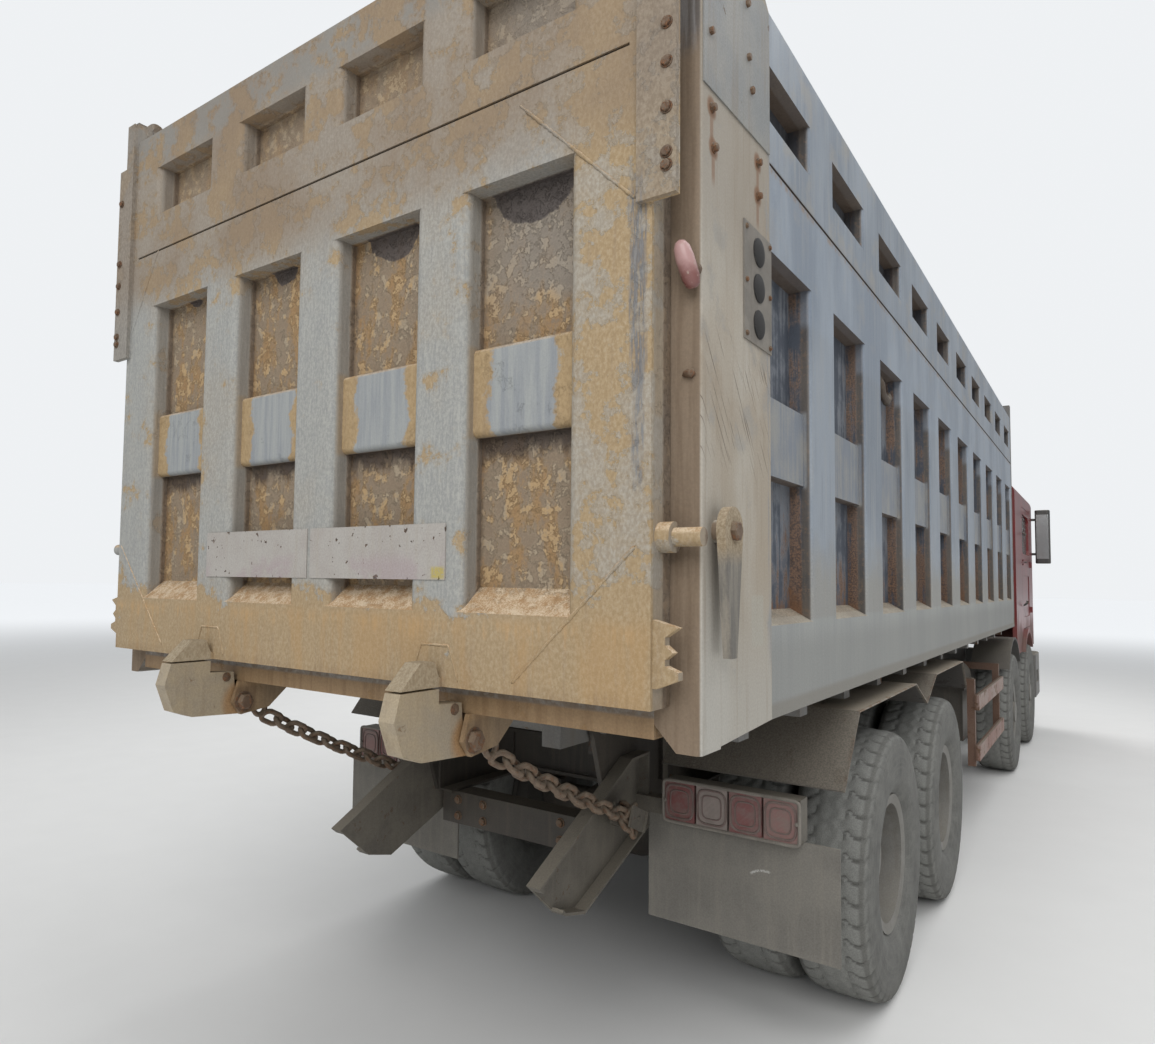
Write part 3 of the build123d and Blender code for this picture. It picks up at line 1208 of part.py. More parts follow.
with BuildPart() as cab_shell:
    with BuildSketch(Plane.XZ):
        with BuildLine():
            Polyline(
                (ahead(cab_rear_ahead), cab_floor),
                (ahead(cab_rear_ahead), cab_roof),
                *[(ahead(cab_front_ahead - back), height) for back, height in cab_line],
                close=True,
            )
        make_face()
    extrude(amount=cab_half_width, both=True)
    fillet(cab_shell.edges().filter_by(Axis.X).group_by(Axis.Z)[-1], roof_radius)
    with BuildSketch(Plane.XY.offset(cab_floor)):
        with Locations((ahead(cab_middle_ahead), 0)):
            RectangleRounded(cab_length, 2 * cab_half_width, cab_corner_radius)
        with Locations((ahead(cab_middle_ahead) - cab_length / 4, 0)):
            Rectangle(cab_length / 2, 2 * cab_half_width)
    extrude(amount=cab_roof - cab_floor, mode=Mode.INTERSECT)
    add(cab_space.part, mode=Mode.SUBTRACT)
    with BuildSketch(Plane.XY.offset(cab_skirt_bottom)):
        with Locations((ahead(cab_middle_ahead), 0)):
            RectangleRounded(cab_length, 2 * cab_half_width, cab_corner_radius)
            inner_width = 2 * (cab_half_width - skirt_thickness)
            inner_radius = cab_corner_radius - skirt_thickness
            RectangleRounded(cab_length - 2 * skirt_thickness, inner_width, inner_radius, mode=Mode.SUBTRACT)
        with Locations((ahead(cab_front_ahead) - cab_corner_radius / 2, 0)):
            Rectangle(cab_corner_radius + 2, 2 * cab_half_width, mode=Mode.INTERSECT)
    extrude(amount=cab_floor + 10 - cab_skirt_bottom)
    with BuildSketch(Plane.YZ.offset(ahead(cab_front_ahead - 420))):
        with Locations((0, (windscreen_low + windscreen_high) / 2)):
            RectangleRounded(2 * windscreen_half_width, windscreen_high - windscreen_low, windscreen_corner)
    extrude(amount=500, mode=Mode.SUBTRACT)
    with BuildSketch(Plane.YZ.offset(ahead(cab_rear_ahead - 10))):
        with Locations((0, rear_window_height)):
            RectangleRounded(rear_window_width, rear_window_tall, rear_window_corner)
    extrude(amount=cab_wall + 20, mode=Mode.SUBTRACT)
    for side in (-1, 1):
        with BuildSketch(Plane.XZ.offset(-side * cab_half_width)):
            with Locations((ahead(cab_middle_ahead) - cab_corner_radius / 2, (cab_skirt_bottom + cab_floor + 10) / 2)):
                Rectangle(cab_length - cab_corner_radius, cab_floor + 10 - cab_skirt_bottom)
            with Locations((ahead(steer_axle_ahead[0]), axle_height)):
                Circle(arch_cut_radius, mode=Mode.SUBTRACT)
        extrude(amount=side * skirt_thickness)
        with BuildSketch(Plane.XZ.offset(-side * (cab_half_width + arch_lip_proud))):
            with Locations((ahead(steer_axle_ahead[0]), axle_height)):
                Circle(arch_cut_radius + arch_lip)
                Circle(arch_cut_radius, mode=Mode.SUBTRACT)
                with Locations((0, (cab_skirt_bottom - axle_height) / 2 - arch_cut_radius)):
                    Rectangle(3 * arch_cut_radius, 2 * arch_cut_radius + cab_skirt_bottom - axle_height, mode=Mode.SUBTRACT)
        extrude(amount=side * (arch_lip_proud + skirt_thickness))
        with BuildSketch(Plane.XZ.offset(-side * cab_lug_y)):
            with BuildLine():
                Polyline(
                    (ahead(cab_hinge_ahead - 120), cab_floor + 10),
                    (ahead(cab_hinge_ahead + 30), cab_floor + 10),
                    (ahead(cab_hinge_ahead + 35), cab_hinge_height),
                    (ahead(cab_hinge_ahead - 35), cab_hinge_height),
                    close=True,
                )
            make_face()
            with Locations((ahead(cab_hinge_ahead), cab_hinge_height)):
                Circle(35)
                Circle(cab_pin_radius + pin_gap, mode=Mode.SUBTRACT)
        extrude(amount=cab_lug_thickness / 2, both=True)
        for height in door_hinge_heights:
            with Locations((ahead(door_hinge_ahead + hinge_barrel_radius + pin_gap + 20), side * (cab_half_width + 6), height)):
                Box(40, 12, 70)
    with BuildSketch(Plane.XZ.offset(-cab_half_width)):
        with Locations((ahead((door_rear_ahead + door_front_ahead) / 2), (door_bottom + door_top) / 2)):
            RectangleRounded(door_front_ahead - door_rear_ahead, door_top - door_bottom, door_corner)
    extrude(amount=2 * cab_half_width, mode=Mode.SUBTRACT)
save(cab_shell, "cab_shell")

# Visor over the windscreen: a leaning plate between two webs
visor_thickness = 12.0
visor_half_width = 980.0
visor_reach = 190.0
visor_drop = 95.0
visor_root_height = windscreen_high + 55.0
visor_web_drop = 20.0
lean_rate = windscreen_lean / (cab_roof - roof_brow - cab_belt)
visor_root_ahead = cab_front_ahead - lean_rate * (visor_root_height - cab_belt) + pin_gap
visor_web_ahead = visor_root_ahead + lean_rate * visor_web_drop
visor_tip_ahead = visor_root_ahead + visor_reach
with BuildPart() as sun_visor:
    with BuildSketch(Plane.XZ):
        with BuildLine():
            Polyline(
                (ahead(visor_root_ahead), visor_root_height),
                (ahead(visor_tip_ahead), visor_root_height - visor_drop),
                (ahead(visor_tip_ahead), visor_root_height - visor_drop + visor_thickness),
                (ahead(visor_root_ahead), visor_root_height + visor_thickness),
                close=True,
            )
        make_face()
    extrude(amount=visor_half_width, both=True)
    for web_y in (visor_thickness / 2 - visor_half_width, 0, visor_half_width - visor_thickness / 2):
        with BuildSketch(Plane.XZ.offset(-web_y)):
            with BuildLine():
                Polyline(
                    (ahead(visor_web_ahead), visor_root_height - visor_web_drop),
                    (ahead(visor_tip_ahead), visor_root_height - visor_drop),
                    (ahead(visor_tip_ahead), visor_root_height - visor_drop + visor_thickness),
                    (ahead(visor_root_ahead), visor_root_height + visor_thickness),
                    close=True,
                )
            make_face()
        extrude(amount=visor_thickness / 2, both=True)
save(sun_visor, "sun_visor")

# Front panel with rows of grille slots that narrow downwards
panel_half_width = 850.0
panel_low = 1120.0
panel_high = 1880.0
panel_thickness = 24.0
# Columns: height, width of the slot
grille_slots = ((1700.0, 1520.0), (1600.0, 1480.0), (1500.0, 1440.0), (1400.0, 1400.0), (1300.0, 1360.0), (1200.0, 1320.0))
slot_tall = 56.0
slot_depth = 13.0
with BuildPart() as cab_front_panel:
    with BuildSketch(Plane.YZ.offset(ahead(cab_front_ahead))):
        with Locations((0, (panel_low + panel_high) / 2)):
            RectangleRounded(2 * panel_half_width, panel_high - panel_low, 70)
    extrude(amount=panel_thickness)
    with BuildSketch(Plane.YZ.offset(ahead(cab_front_ahead) + panel_thickness - slot_depth)):
        for height, width in grille_slots:
            with Locations((0, height)):
                RectangleRounded(width, slot_tall, 20)
    extrude(amount=slot_depth, mode=Mode.SUBTRACT)
save(cab_front_panel, "cab_front_panel")

# Windscreen and rear window
glass_back = 24.0
with BuildPart() as cab_glass:
    with BuildSketch(Plane.XZ):
        with BuildLine():
            low_face = ahead(cab_front_ahead - glass_back - lean_rate * (windscreen_low - cab_belt))
            high_face = ahead(cab_front_ahead - glass_back - lean_rate * (windscreen_high - cab_belt))
            Polyline(
                (low_face, windscreen_low),
                (high_face, windscreen_high),
                (high_face - glass_thickness, windscreen_high),
                (low_face - glass_thickness, windscreen_low),
                close=True,
            )
        make_face()
    extrude(amount=windscreen_half_width, both=True)
    with BuildSketch(Plane.YZ.offset(ahead(cab_front_ahead - 420))):
        with Locations((0, (windscreen_low + windscreen_high) / 2)):
            glass_width = 2 * (windscreen_half_width - pin_gap)
            glass_height = windscreen_high - windscreen_low - 2 * pin_gap
            RectangleRounded(glass_width, glass_height, windscreen_corner)
    extrude(amount=500, mode=Mode.INTERSECT)
    with BuildSketch(Plane.YZ.offset(ahead(cab_rear_ahead + (cab_wall - glass_thickness) / 2))):
        with Locations((0, rear_window_height)):
            RectangleRounded(rear_window_width - 2 * pin_gap, rear_window_tall - 2 * pin_gap, rear_window_corner)
    extrude(amount=glass_thickness)
save(cab_glass, "cab_glass")

# Seats, dashboard and steering wheel
seat_rear_ahead = 9020.0
seat_length = 520.0
seat_width = 500.0
seat_y = 560.0
cushion_height = 130.0
seat_height = cab_floor + floor_plate + 340.0
backrest_height = 680.0
backrest_depth = 120.0
dash_depth = 430.0
dash_low = 1500.0
dash_high = 1930.0
wheel_tilt = -55.0
wheel_hub = (9900.0, seat_y, 1960.0)
steering_radius = 230.0
steering_rim = 15.0
with BuildPart() as cab_interior:
    for side in (-1, 1):
        with Locations((ahead(seat_rear_ahead + seat_length / 2 + 40), side * seat_y, (cab_floor + floor_plate + seat_height) / 2)):
            Box(seat_length - 160, seat_width - 160, seat_height - cab_floor - floor_plate)
        with BuildSketch(Plane.XZ.offset(-side * seat_y)):
            with Locations((ahead(seat_rear_ahead + seat_length / 2 + 40), seat_height - cushion_height / 2)):
                RectangleRounded(seat_length, cushion_height, 45)
            with Locations(Location((ahead(seat_rear_ahead + 50), seat_height + backrest_height / 2 - 60, 0), (0, 0, 9))):
                RectangleRounded(backrest_depth, backrest_height, 50)
        extrude(amount=seat_width / 2, both=True)
    with BuildSketch(Plane.XZ):
        with BuildLine():
            dash_front = ahead(cab_front_ahead - cab_wall - pin_gap)
            Polyline(
                (dash_front, dash_low),
                (dash_front, dash_high),
                (dash_front - dash_depth + 120, dash_high),
                (dash_front - dash_depth, dash_high - 70),
                (dash_front - dash_depth + 60, dash_low + 60),
                (dash_front - 200, dash_low),
                close=True,
            )
        make_face()
    extrude(amount=cab_half_width - cab_corner_radius, both=True)
    with Locations(Location((ahead(wheel_hub[0]), wheel_hub[1], wheel_hub[2]), (0, wheel_tilt, 0))):
        Torus(steering_radius - steering_rim, steering_rim)
        Box(2 * (steering_radius - steering_rim), 40, 16)
        Cylinder(60, 30)
    with Locations(Location((ahead(10121), wheel_hub[1], 1805), (0, wheel_tilt, 0))):
        Cylinder(30, 540)
save(cab_interior, "cab_interior")

# Doors hinged at their front edges, each with its window cut and a handle in a shallow well
door_thickness = 60.0
door_gap = 6.0
door_middle_ahead = (door_rear_ahead + door_front_ahead) / 2
door_length = door_front_ahead - door_rear_ahead
window_middle = (window_sill + window_top) / 2
handle_well = (9270.0, 2060.0)
for side_name, side in (("left", 1), ("right", -1)):
    inner_face = Plane.XZ.offset(-side * (cab_half_width - door_thickness))
    with BuildPart() as door:
        with BuildSketch(inner_face):
            with Locations((ahead(door_middle_ahead), (door_bottom + door_top) / 2)):
                RectangleRounded(door_length - 2 * door_gap, door_top - door_bottom - 2 * door_gap, door_corner - door_gap)
            with Locations((ahead(door_middle_ahead), window_middle)):
                RectangleRounded(door_length - 2 * window_frame, window_top - window_sill, window_corner, mode=Mode.SUBTRACT)
        extrude(amount=-side * door_thickness)
        with BuildSketch(Plane.XZ.offset(-side * cab_half_width)):
            with Locations((ahead(handle_well[0]), handle_well[1])):
                RectangleRounded(150, 70, 25)
        extrude(amount=side * 18, mode=Mode.SUBTRACT)
        with Locations((ahead(handle_well[0]), side * (cab_half_width - 7), handle_well[1])):
            Box(155, 14, 24)
        with BuildSketch(Plane.XZ.offset(-side * cab_half_width)):
            with Locations((ahead(door_middle_ahead), (door_bottom + window_sill) / 2 - 60)):
                RectangleRounded(door_length - 220, window_sill - door_bottom - 380, 60)
        extrude(amount=side * 8, mode=Mode.SUBTRACT)
        for height in door_hinge_heights:
            with Locations((ahead(door_hinge_ahead), side * (cab_half_width + door_hinge_proud), height)):
                Cylinder(hinge_barrel_radius, 70)
            with Locations((ahead(door_hinge_ahead - 35), side * (cab_half_width + 3), height)):
                Box(60, 10, 70)
    save(door, f"{side_name}_door")
    with BuildPart() as door_glass:
        with BuildSketch(Plane.XZ.offset(-side * (cab_half_width - door_thickness / 2 - glass_thickness / 2))):
            with Locations((ahead(door_middle_ahead), window_middle)):
                glass_length = door_length - 2 * window_frame - 2 * pin_gap
                RectangleRounded(glass_length, window_top - window_sill - 2 * pin_gap, window_corner)
        extrude(amount=-side * glass_thickness)
    save(door_glass, f"{side_name}_door_glass")

# Mirrors on arms at the cab's front corners
mirror_middle_y = 1320.0
with BuildPart() as mirrors:
    with Locations((ahead(cab_front_ahead - 190), mirror_middle_y, 2420)):
        Box(110, 160, 680)
    fillet(mirrors.edges().filter_by(Axis.Z), 35)
    fillet(mirrors.faces().filter_by(Axis.Z).edges(), 12)
    for height in (2200.0, 2640.0):
        with Locations((ahead(cab_front_ahead - 190), (cab_half_width + mirror_middle_y - 80) / 2, height)):
            Box(30, mirror_middle_y - 80 - cab_half_width, 30)
    mirror(about=Plane.XZ)
save(mirrors, "mirrors")
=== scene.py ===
import math
import bmesh
import bpy
import numpy as np
from mathutils import Matrix, Vector


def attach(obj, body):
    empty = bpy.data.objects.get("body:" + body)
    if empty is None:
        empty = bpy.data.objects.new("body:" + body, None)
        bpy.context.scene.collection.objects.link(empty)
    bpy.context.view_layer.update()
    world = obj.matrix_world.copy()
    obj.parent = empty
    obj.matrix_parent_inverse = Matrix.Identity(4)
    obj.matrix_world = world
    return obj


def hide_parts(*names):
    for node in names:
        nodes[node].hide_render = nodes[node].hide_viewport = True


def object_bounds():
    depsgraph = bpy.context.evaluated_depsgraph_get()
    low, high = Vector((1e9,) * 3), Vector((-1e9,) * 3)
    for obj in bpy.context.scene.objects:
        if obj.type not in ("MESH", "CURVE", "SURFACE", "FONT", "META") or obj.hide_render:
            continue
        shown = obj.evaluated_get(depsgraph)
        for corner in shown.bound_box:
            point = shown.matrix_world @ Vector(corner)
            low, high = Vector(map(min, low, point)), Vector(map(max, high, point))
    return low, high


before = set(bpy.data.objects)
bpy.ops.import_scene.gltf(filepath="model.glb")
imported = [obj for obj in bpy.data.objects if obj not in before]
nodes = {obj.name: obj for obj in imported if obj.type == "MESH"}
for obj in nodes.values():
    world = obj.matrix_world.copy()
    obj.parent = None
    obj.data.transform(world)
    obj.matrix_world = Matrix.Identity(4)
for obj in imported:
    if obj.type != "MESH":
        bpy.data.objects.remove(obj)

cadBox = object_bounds()
bedRear = -5.285  # the bed's rear face along X, from which the places named "ahead" are measured


def ahead(distance):
    return bedRear + distance


sides = (("left", 1), ("right", -1))  # the sign is that of Y


class Wire:  # one output of a shader node, with arithmetic on it
    def __init__(self, tree, socket):
        self.tree, self.socket = tree, socket

    def node(self, kind, settings=None, out=0, **inputs):  # any node: its settings first, then its sockets
        made = self.tree.nodes.new(kind)
        for key, value in (settings or {}).items():
            if key == "stops":
                while len(made.color_ramp.elements) < len(value):
                    made.color_ramp.elements.new(0.5)
                for element, (place, colour) in zip(made.color_ramp.elements, value):
                    element.position, element.color = place, (*colour, 1.0)
            else:
                setattr(made, key, value)
        for key, value in inputs.items():
            socket = made.inputs[int(key[1:])] if key[1:].isdigit() else made.inputs[key.replace("_", " ")]
            if isinstance(value, Wire):
                self.tree.links.new(value.socket, socket)
            elif value is not None:
                socket.default_value = (*value, 1.0) if key in ("_6", "_7") and len(value) == 3 else value
        return Wire(self.tree, made.outputs[out])

    def maths(self, operation, *values):
        return self.node("ShaderNodeMath", {"operation": operation}, **{f"_{i}": v for i, v in enumerate(values)})

    def __add__(self, other): return self.maths("ADD", self, other)
    def __radd__(self, other): return self.maths("ADD", other, self)
    def __sub__(self, other): return self.maths("SUBTRACT", self, other)
    def __rsub__(self, other): return self.maths("SUBTRACT", other, self)
    def __mul__(self, other): return self.maths("MULTIPLY", self, other)
    def __rmul__(self, other): return self.maths("MULTIPLY", other, self)
    def __truediv__(self, other): return self.maths("DIVIDE", self, other)
    def __abs__(self): return self.maths("ABSOLUTE", self)

    def larger(self, other): return self.maths("MAXIMUM", self, other)
    def smaller(self, other): return self.maths("MINIMUM", self, other)
    def root(self): return self.maths("SQRT", self)
    def sine(self): return self.maths("SINE", self)

    def step(self, low, high, start=0.0, end=1.0):  # smooth change between low and high
        return self.node("ShaderNodeMapRange", {"interpolation_type": "SMOOTHSTEP"}, _0=self, _1=low, _2=high,
                         _3=start, _4=end)

    def between(self, low, high, soft):  # one inside the span, zero outside, with soft ends
        return self.step(low - soft, low + soft) * (1 - self.step(high - soft, high + soft))

    def noise(self, scale, detail=4.0, rough=0.55, stretch=(1.0, 1.0, 1.0), shift=(0.0, 0.0, 0.0)):
        place = self.node("ShaderNodeMapping", {}, Vector=self, Location=shift, Scale=stretch)
        return place.node("ShaderNodeTexNoise", {}, Vector=place, Scale=scale, Detail=detail, Roughness=rough)

    def blend(self, low, high):  # a colour that goes from low to high with this mask
        return self.node("ShaderNodeMix", {"data_type": "RGBA"}, 2, _0=self, _6=low, _7=high)

    def lay(self, mask, tone):  # this colour takes another tone where the mask is one
        self.socket = mask.blend(self, tone).socket

    def shade(self, factor):  # a colour made darker or brighter by a factor
        return self.node("ShaderNodeVectorMath", {"operation": "SCALE"}, _0=self, Scale=factor)


def startFinish(name):  # a new material, its surface shader and the object coordinates as a wire
    material = bpy.data.materials.new(name)
    material.use_nodes = True
    tree = material.node_tree
    shader = tree.nodes["Principled BSDF"]
    coordinates = tree.nodes.new("ShaderNodeTexCoord")
    return material, shader, Wire(tree, coordinates.outputs["Object"])


def endFinish(material, shader, colour, rough, bump=None, metal=None, distance=0.002, gloss=0.5):
    tree = material.node_tree
    shader.inputs["Specular IOR Level"].default_value = gloss
    for socket, wire in (("Base Color", colour), ("Roughness", rough), ("Metallic", metal)):
        if isinstance(wire, Wire):
            tree.links.new(wire.socket, shader.inputs[socket])
        elif wire is not None:
            shader.inputs[socket].default_value = (*wire, 1.0) if socket == "Base Color" else wire
    if bump is not None:
        relief = bump.node("ShaderNodeBump", {}, Strength=1.0, Distance=distance, Height=bump)
        tree.links.new(relief.socket, shader.inputs["Normal"])
    return material


def splitPlace(xyz):
    return [xyz.node("ShaderNodeSeparateXYZ", {}, axis, Vector=xyz) for axis in range(3)]


def facing(xyz, axis):  # how far the surface faces along X, Y or Z, from -1 to 1
    normal = xyz.node("ShaderNodeNewGeometry", {}, 1)
    return normal.node("ShaderNodeSeparateXYZ", {}, axis, Vector=normal)


def nearest(value, places):  # distance from the value to the closest of the places
    gaps = [abs(value - place) for place in places]
    closest = gaps[0]
    for gap in gaps[1:]:
        closest = closest.smaller(gap)
    return closest


def mottled(mask, low, high):  # two tones of one finish, mixed by a noise
    return mask.step(0.35, 0.65).blend(low, high)


usualLook = {  # scales of the noises, tones of the rust, and what the shader takes
    "broad": 2.6, "grain": 170.0, "runStretch": (34.0, 34.0, 2.2), "runShare": 0.5, "patch": 7.0,
    "rust": (0.19, 0.085, 0.035), "rustDark": (0.07, 0.03, 0.016), "rough": 0.5, "relief": 0.35, "fleck": 0.1,
    "gloss": 0.4, "metal": None, "depth": 0.0016,
}


def weathered(name):
    # Paint mottled by broad noise, runs down it, rusty patches, dust on what faces up, a fine grain over all.
    *row, own = looks[name]
    look = {**usualLook, **dict(zip(lookColumns, row)), **own}
    material, shader, xyz = startFinish(name)
    broad = xyz.noise(look["broad"], 5.0, 0.6)
    fine = xyz.noise(look["grain"], 3.0, 0.6)
    runs = xyz.noise(1.0, 5.0, 0.6, look["runStretch"])
    colour = broad.step(0.38, 0.62).blend(look["paint"], look["shade"])
    colour.lay(runs.step(0.48, 0.72) * look["runShare"], look["run"])
    patch = xyz.noise(look["patch"], 9.0, 0.7).step(look["rustEdge"], look["rustEdge"] + 0.05)
    colour.lay(patch, mottled(fine, look["rust"], look["rustDark"]))
    dust = ((facing(xyz, 2).step(0.0, 0.9) * look["dustUp"] + look["dustAll"])
            * (broad * 0.8 + fine * 0.5 + 0.35)).smaller(1.0)
    colour.lay(dust, look["dust"])
    rough = (dust * 0.3 + patch * 0.3 + look["rough"]).smaller(0.95)
    relief = fine * look["relief"] + patch * 0.35 + runs * 0.2 + dust * 0.2
    extra = marks[name](xyz, *splitPlace(xyz), colour, broad, fine, runs) if name in marks else None
    if extra:
        rough, relief = (rough + extra[0]).smaller(0.95), relief + extra[1]
    colour = colour.shade(fine.step(0.25, 0.75, 1 - look["fleck"], 1 + look["fleck"]))
    return endFinish(material, shader, colour, rough, relief, look["metal"], look["depth"], look["gloss"])


camera = {
    "place": (-7.047, -2.001, 1.765),
    "yaw": 37.431, "pitch": 3.147, "roll": 0.816,  # degrees
    "sensor": 36.0, "lens": 25.085,                # millimetres
    "shiftX": 0.0713, "shiftY": 0.0124,
}


def makeCamera():
    yaw, pitch, roll = (math.radians(camera[key]) for key in ("yaw", "pitch", "roll"))
    forward = Vector((math.cos(pitch) * math.cos(yaw), math.cos(pitch) * math.sin(yaw), math.sin(pitch)))
    right = Vector((math.sin(yaw), -math.cos(yaw), 0.0))
    up = right.cross(forward)
    tiltedRight = right * math.cos(roll) + up * math.sin(roll)
    tiltedUp = up * math.cos(roll) - right * math.sin(roll)
    lens = bpy.data.cameras.new("photoLens")
    lens.sensor_width, lens.lens = camera["sensor"], camera["lens"]
    lens.shift_x, lens.shift_y = camera["shiftX"], camera["shiftY"]
    lens.clip_start, lens.clip_end = 0.05, 200.0
    view = bpy.data.objects.new("photoCamera", lens)
    bpy.context.scene.collection.objects.link(view)
    axes = Matrix((tiltedRight, tiltedUp, -forward)).transposed()
    view.matrix_world = Matrix.Translation(camera["place"]) @ axes.to_4x4()
    bpy.context.scene.camera = view


studio = {
    "sky": (0.93, 0.965, 1.0), "skyStrength": 0.42, "backdrop": (0.86, 0.88, 0.9),
    "keyPlace": (-14.0, -4.5, 9.0), "keySize": 9.0, "keyPower": 1050.0,
    "fillPlace": (9.0, 7.0, 8.0), "fillSize": 9.0, "fillPower": 650.0,
    "topPlace": (0.0, -3.0, 12.0), "topSize": 12.0, "topPower": 900.0,
    "floor": (0.78, 0.775, 0.76), "floorDark": (0.74, 0.735, 0.72), "floorHalf": 160.0,
    "glowFrom": 9.0, "glowTo": 34.0, "glow": (0.56, 0.575, 0.595),
}


def makeStudio():
    scene = bpy.context.scene
    scene.view_settings.view_transform = "Standard"
    world = bpy.data.worlds.new("softSky")
    scene.world = world
    world.use_nodes = True
    tree = world.node_tree
    light = tree.nodes["Background"]
    light.inputs[0].default_value = (*studio["sky"], 1.0)
    light.inputs[1].default_value = studio["skyStrength"]
    seen = tree.nodes.new("ShaderNodeBackground")
    seen.inputs[0].default_value = (*studio["backdrop"], 1.0)
    path = tree.nodes.new("ShaderNodeLightPath")
    choose = tree.nodes.new("ShaderNodeMixShader")
    tree.links.new(path.outputs["Is Camera Ray"], choose.inputs[0])
    tree.links.new(light.outputs[0], choose.inputs[1])
    tree.links.new(seen.outputs[0], choose.inputs[2])
    tree.links.new(choose.outputs[0], tree.nodes["World Output"].inputs[0])
    for name in ("key", "fill", "top"):
        lamp = bpy.data.lights.new(name + "Softbox", "AREA")
        lamp.size, lamp.energy = studio[name + "Size"], studio[name + "Power"]
        box = bpy.data.objects.new(name + "Softbox", lamp)
        scene.collection.objects.link(box)
        place = Vector(studio[name + "Place"])
        turn = (Vector((0, 0, 1.5)) - place).to_track_quat("-Z", "Y")
        box.matrix_world = Matrix.Translation(place) @ turn.to_matrix().to_4x4()
    half = studio["floorHalf"]
    ground = cadBox[0][2]
    floor = addMesh("studioFloor", np.array([[-half, -half, ground], [half, -half, ground], [half, half, ground],
                                             [-half, half, ground]]), np.array([[0, 1, 2, 3]]))
    material, shader, xyz = startFinish("studioPaper")
    speck = xyz.noise(3.0, 5.0)
    endFinish(material, shader, speck.blend(studio["floor"], studio["floorDark"]), 0.9)
    # Far from the truck the paper glows a little, so that it runs into the backdrop.
    x, y = splitPlace(xyz)[:2]
    reach = (x * x + y * y).root()
    glow = reach.step(studio["glowFrom"], studio["glowTo"]).blend((0.0, 0.0, 0.0), studio["glow"])
    material.node_tree.links.new(glow.socket, shader.inputs["Emission Color"])
    shader.inputs["Emission Strength"].default_value = 1.0
    floor.data.materials.append(material)


def addMesh(name, points, faces, smooth=False):
    mesh = bpy.data.meshes.new(name)
    mesh.from_pydata(points.tolist(), [], faces.tolist())
    mesh.update()
    if smooth:
        mesh.polygons.foreach_set("use_smooth", np.ones(len(mesh.polygons), bool))
    piece = bpy.data.objects.new(name, mesh)
    bpy.context.scene.collection.objects.link(piece)
    return piece


def sweepRing(radii, offsets, angles):  # radius and sideways offset, turned about the Y axis
    return np.stack((radii * np.sin(angles), offsets, radii * np.cos(angles)), axis=-1)


def gridFaces(rows, columns, closeRows=False, closeColumns=True):  # quads between neighbours of a grid
    row = np.arange(rows if closeRows else rows - 1)[:, None]
    column = np.arange(columns if closeColumns else columns - 1)[None, :]
    nextRow, nextColumn = (row + 1) % rows, (column + 1) % columns
    corners = (row * columns + column, row * columns + nextColumn, nextRow * columns + nextColumn,
               nextRow * columns + column)
    return np.stack([corner.ravel() for corner in np.broadcast_arrays(*corners)], axis=-1)


def joinParts(parts):  # one mesh from several arrays of points and faces
    starts = np.cumsum([0] + [len(points) for points, faces in parts[:-1]])
    return (np.concatenate([points for points, faces in parts]),
            np.concatenate([faces + start for (points, faces), start in zip(parts, starts)]))


tyre = {
    "axleHeight": 0.5625, "radius": 0.5624, "halfWidth": 0.1573, "lugs": 42, "stepsPerLug": 10,
    "grooveDepth": 0.011, "grooveHalf": 0.0085, "curl": 0.55,
    "crown": (0.52, 0.556), "grooveFloor": (0.556, 0.5515),  # radii that the rubber's finish goes by
    # columns: radius, offset from the middle plane
    "outline": ((0.262, 0.113), (0.291, 0.117), (0.3, 0.126), (0.318, 0.138), (0.35, 0.1505), (0.385, 0.1555),
                (0.42, 0.1573), (0.46, 0.1562), (0.495, 0.1535), (0.515, 0.151), (0.53, 0.1465), (0.541, 0.1405),
                (0.5485, 0.131), (0.5535, 0.1205), (0.5565, 0.111), (0.5585, 0.098), (0.56, 0.084),
                (0.561, 0.07), (0.5617, 0.056), (0.5621, 0.042), (0.5623, 0.028), (0.5624, 0.014), (0.5624, 0.0)),
}


def tyrePart(middleY):
    # The outline is turned about the axle, and shoulder grooves that curl like commas, a zigzag
    # groove at each third of the tread and a plain one in its middle are pressed into it.
    half = np.array(tyre["outline"])
    outline = np.concatenate((half, half[-2::-1] * (1, -1)))
    radius, offset = outline[:, 0:1], outline[:, 1:2]
    count = tyre["lugs"] * tyre["stepsPerLug"]
    angle = np.linspace(0, 2 * np.pi, count, endpoint=False)[None, :]
    across = np.abs(offset) / tyre["halfWidth"]
    lean = tyre["curl"] * np.sin(np.clip((across - 0.3) / 0.7, 0, 1) * np.pi) + 0.35 * across
    side = np.where(offset > 0, 0.0, 0.5)
    phase = (angle * tyre["lugs"] / (2 * np.pi) + lean + side) % 1.0
    pitch = 2 * np.pi * tyre["radius"] / tyre["lugs"]
    lateral = 1 - np.clip(np.abs(phase - 0.5) * pitch / tyre["grooveHalf"], 0, 1) ** 2
    shoulder = np.clip((radius - 0.505) / 0.03, 0, 1) * np.clip((across - 0.3) / 0.12, 0, 1)
    zigzag = 0.33 + 0.045 * np.sin(angle * tyre["lugs"])
    ring = 1 - np.clip(np.abs(across - zigzag) * tyre["halfWidth"] / 0.009, 0, 1) ** 2
    centre = 1 - np.clip(np.abs(offset + 0.01 * np.sin(angle * tyre["lugs"])) / 0.009, 0, 1) ** 2
    press = np.maximum(np.maximum(lateral * shoulder, 0.8 * ring * (radius > 0.55)), 0.6 * centre * (radius > 0.55))
    rib = 0.0012 * np.clip(1 - np.abs(radius - 0.452) / 0.006, 0, 1)  # raised band low on the wall
    depth = tyre["grooveDepth"] * press
    points = sweepRing(radius - depth, np.sign(offset) * (np.abs(offset) + rib - 0.35 * depth * (across > 0.9))
                       + middleY, angle)
    return points.reshape(-1, 3), gridFaces(len(outline), count, closeRows=True)


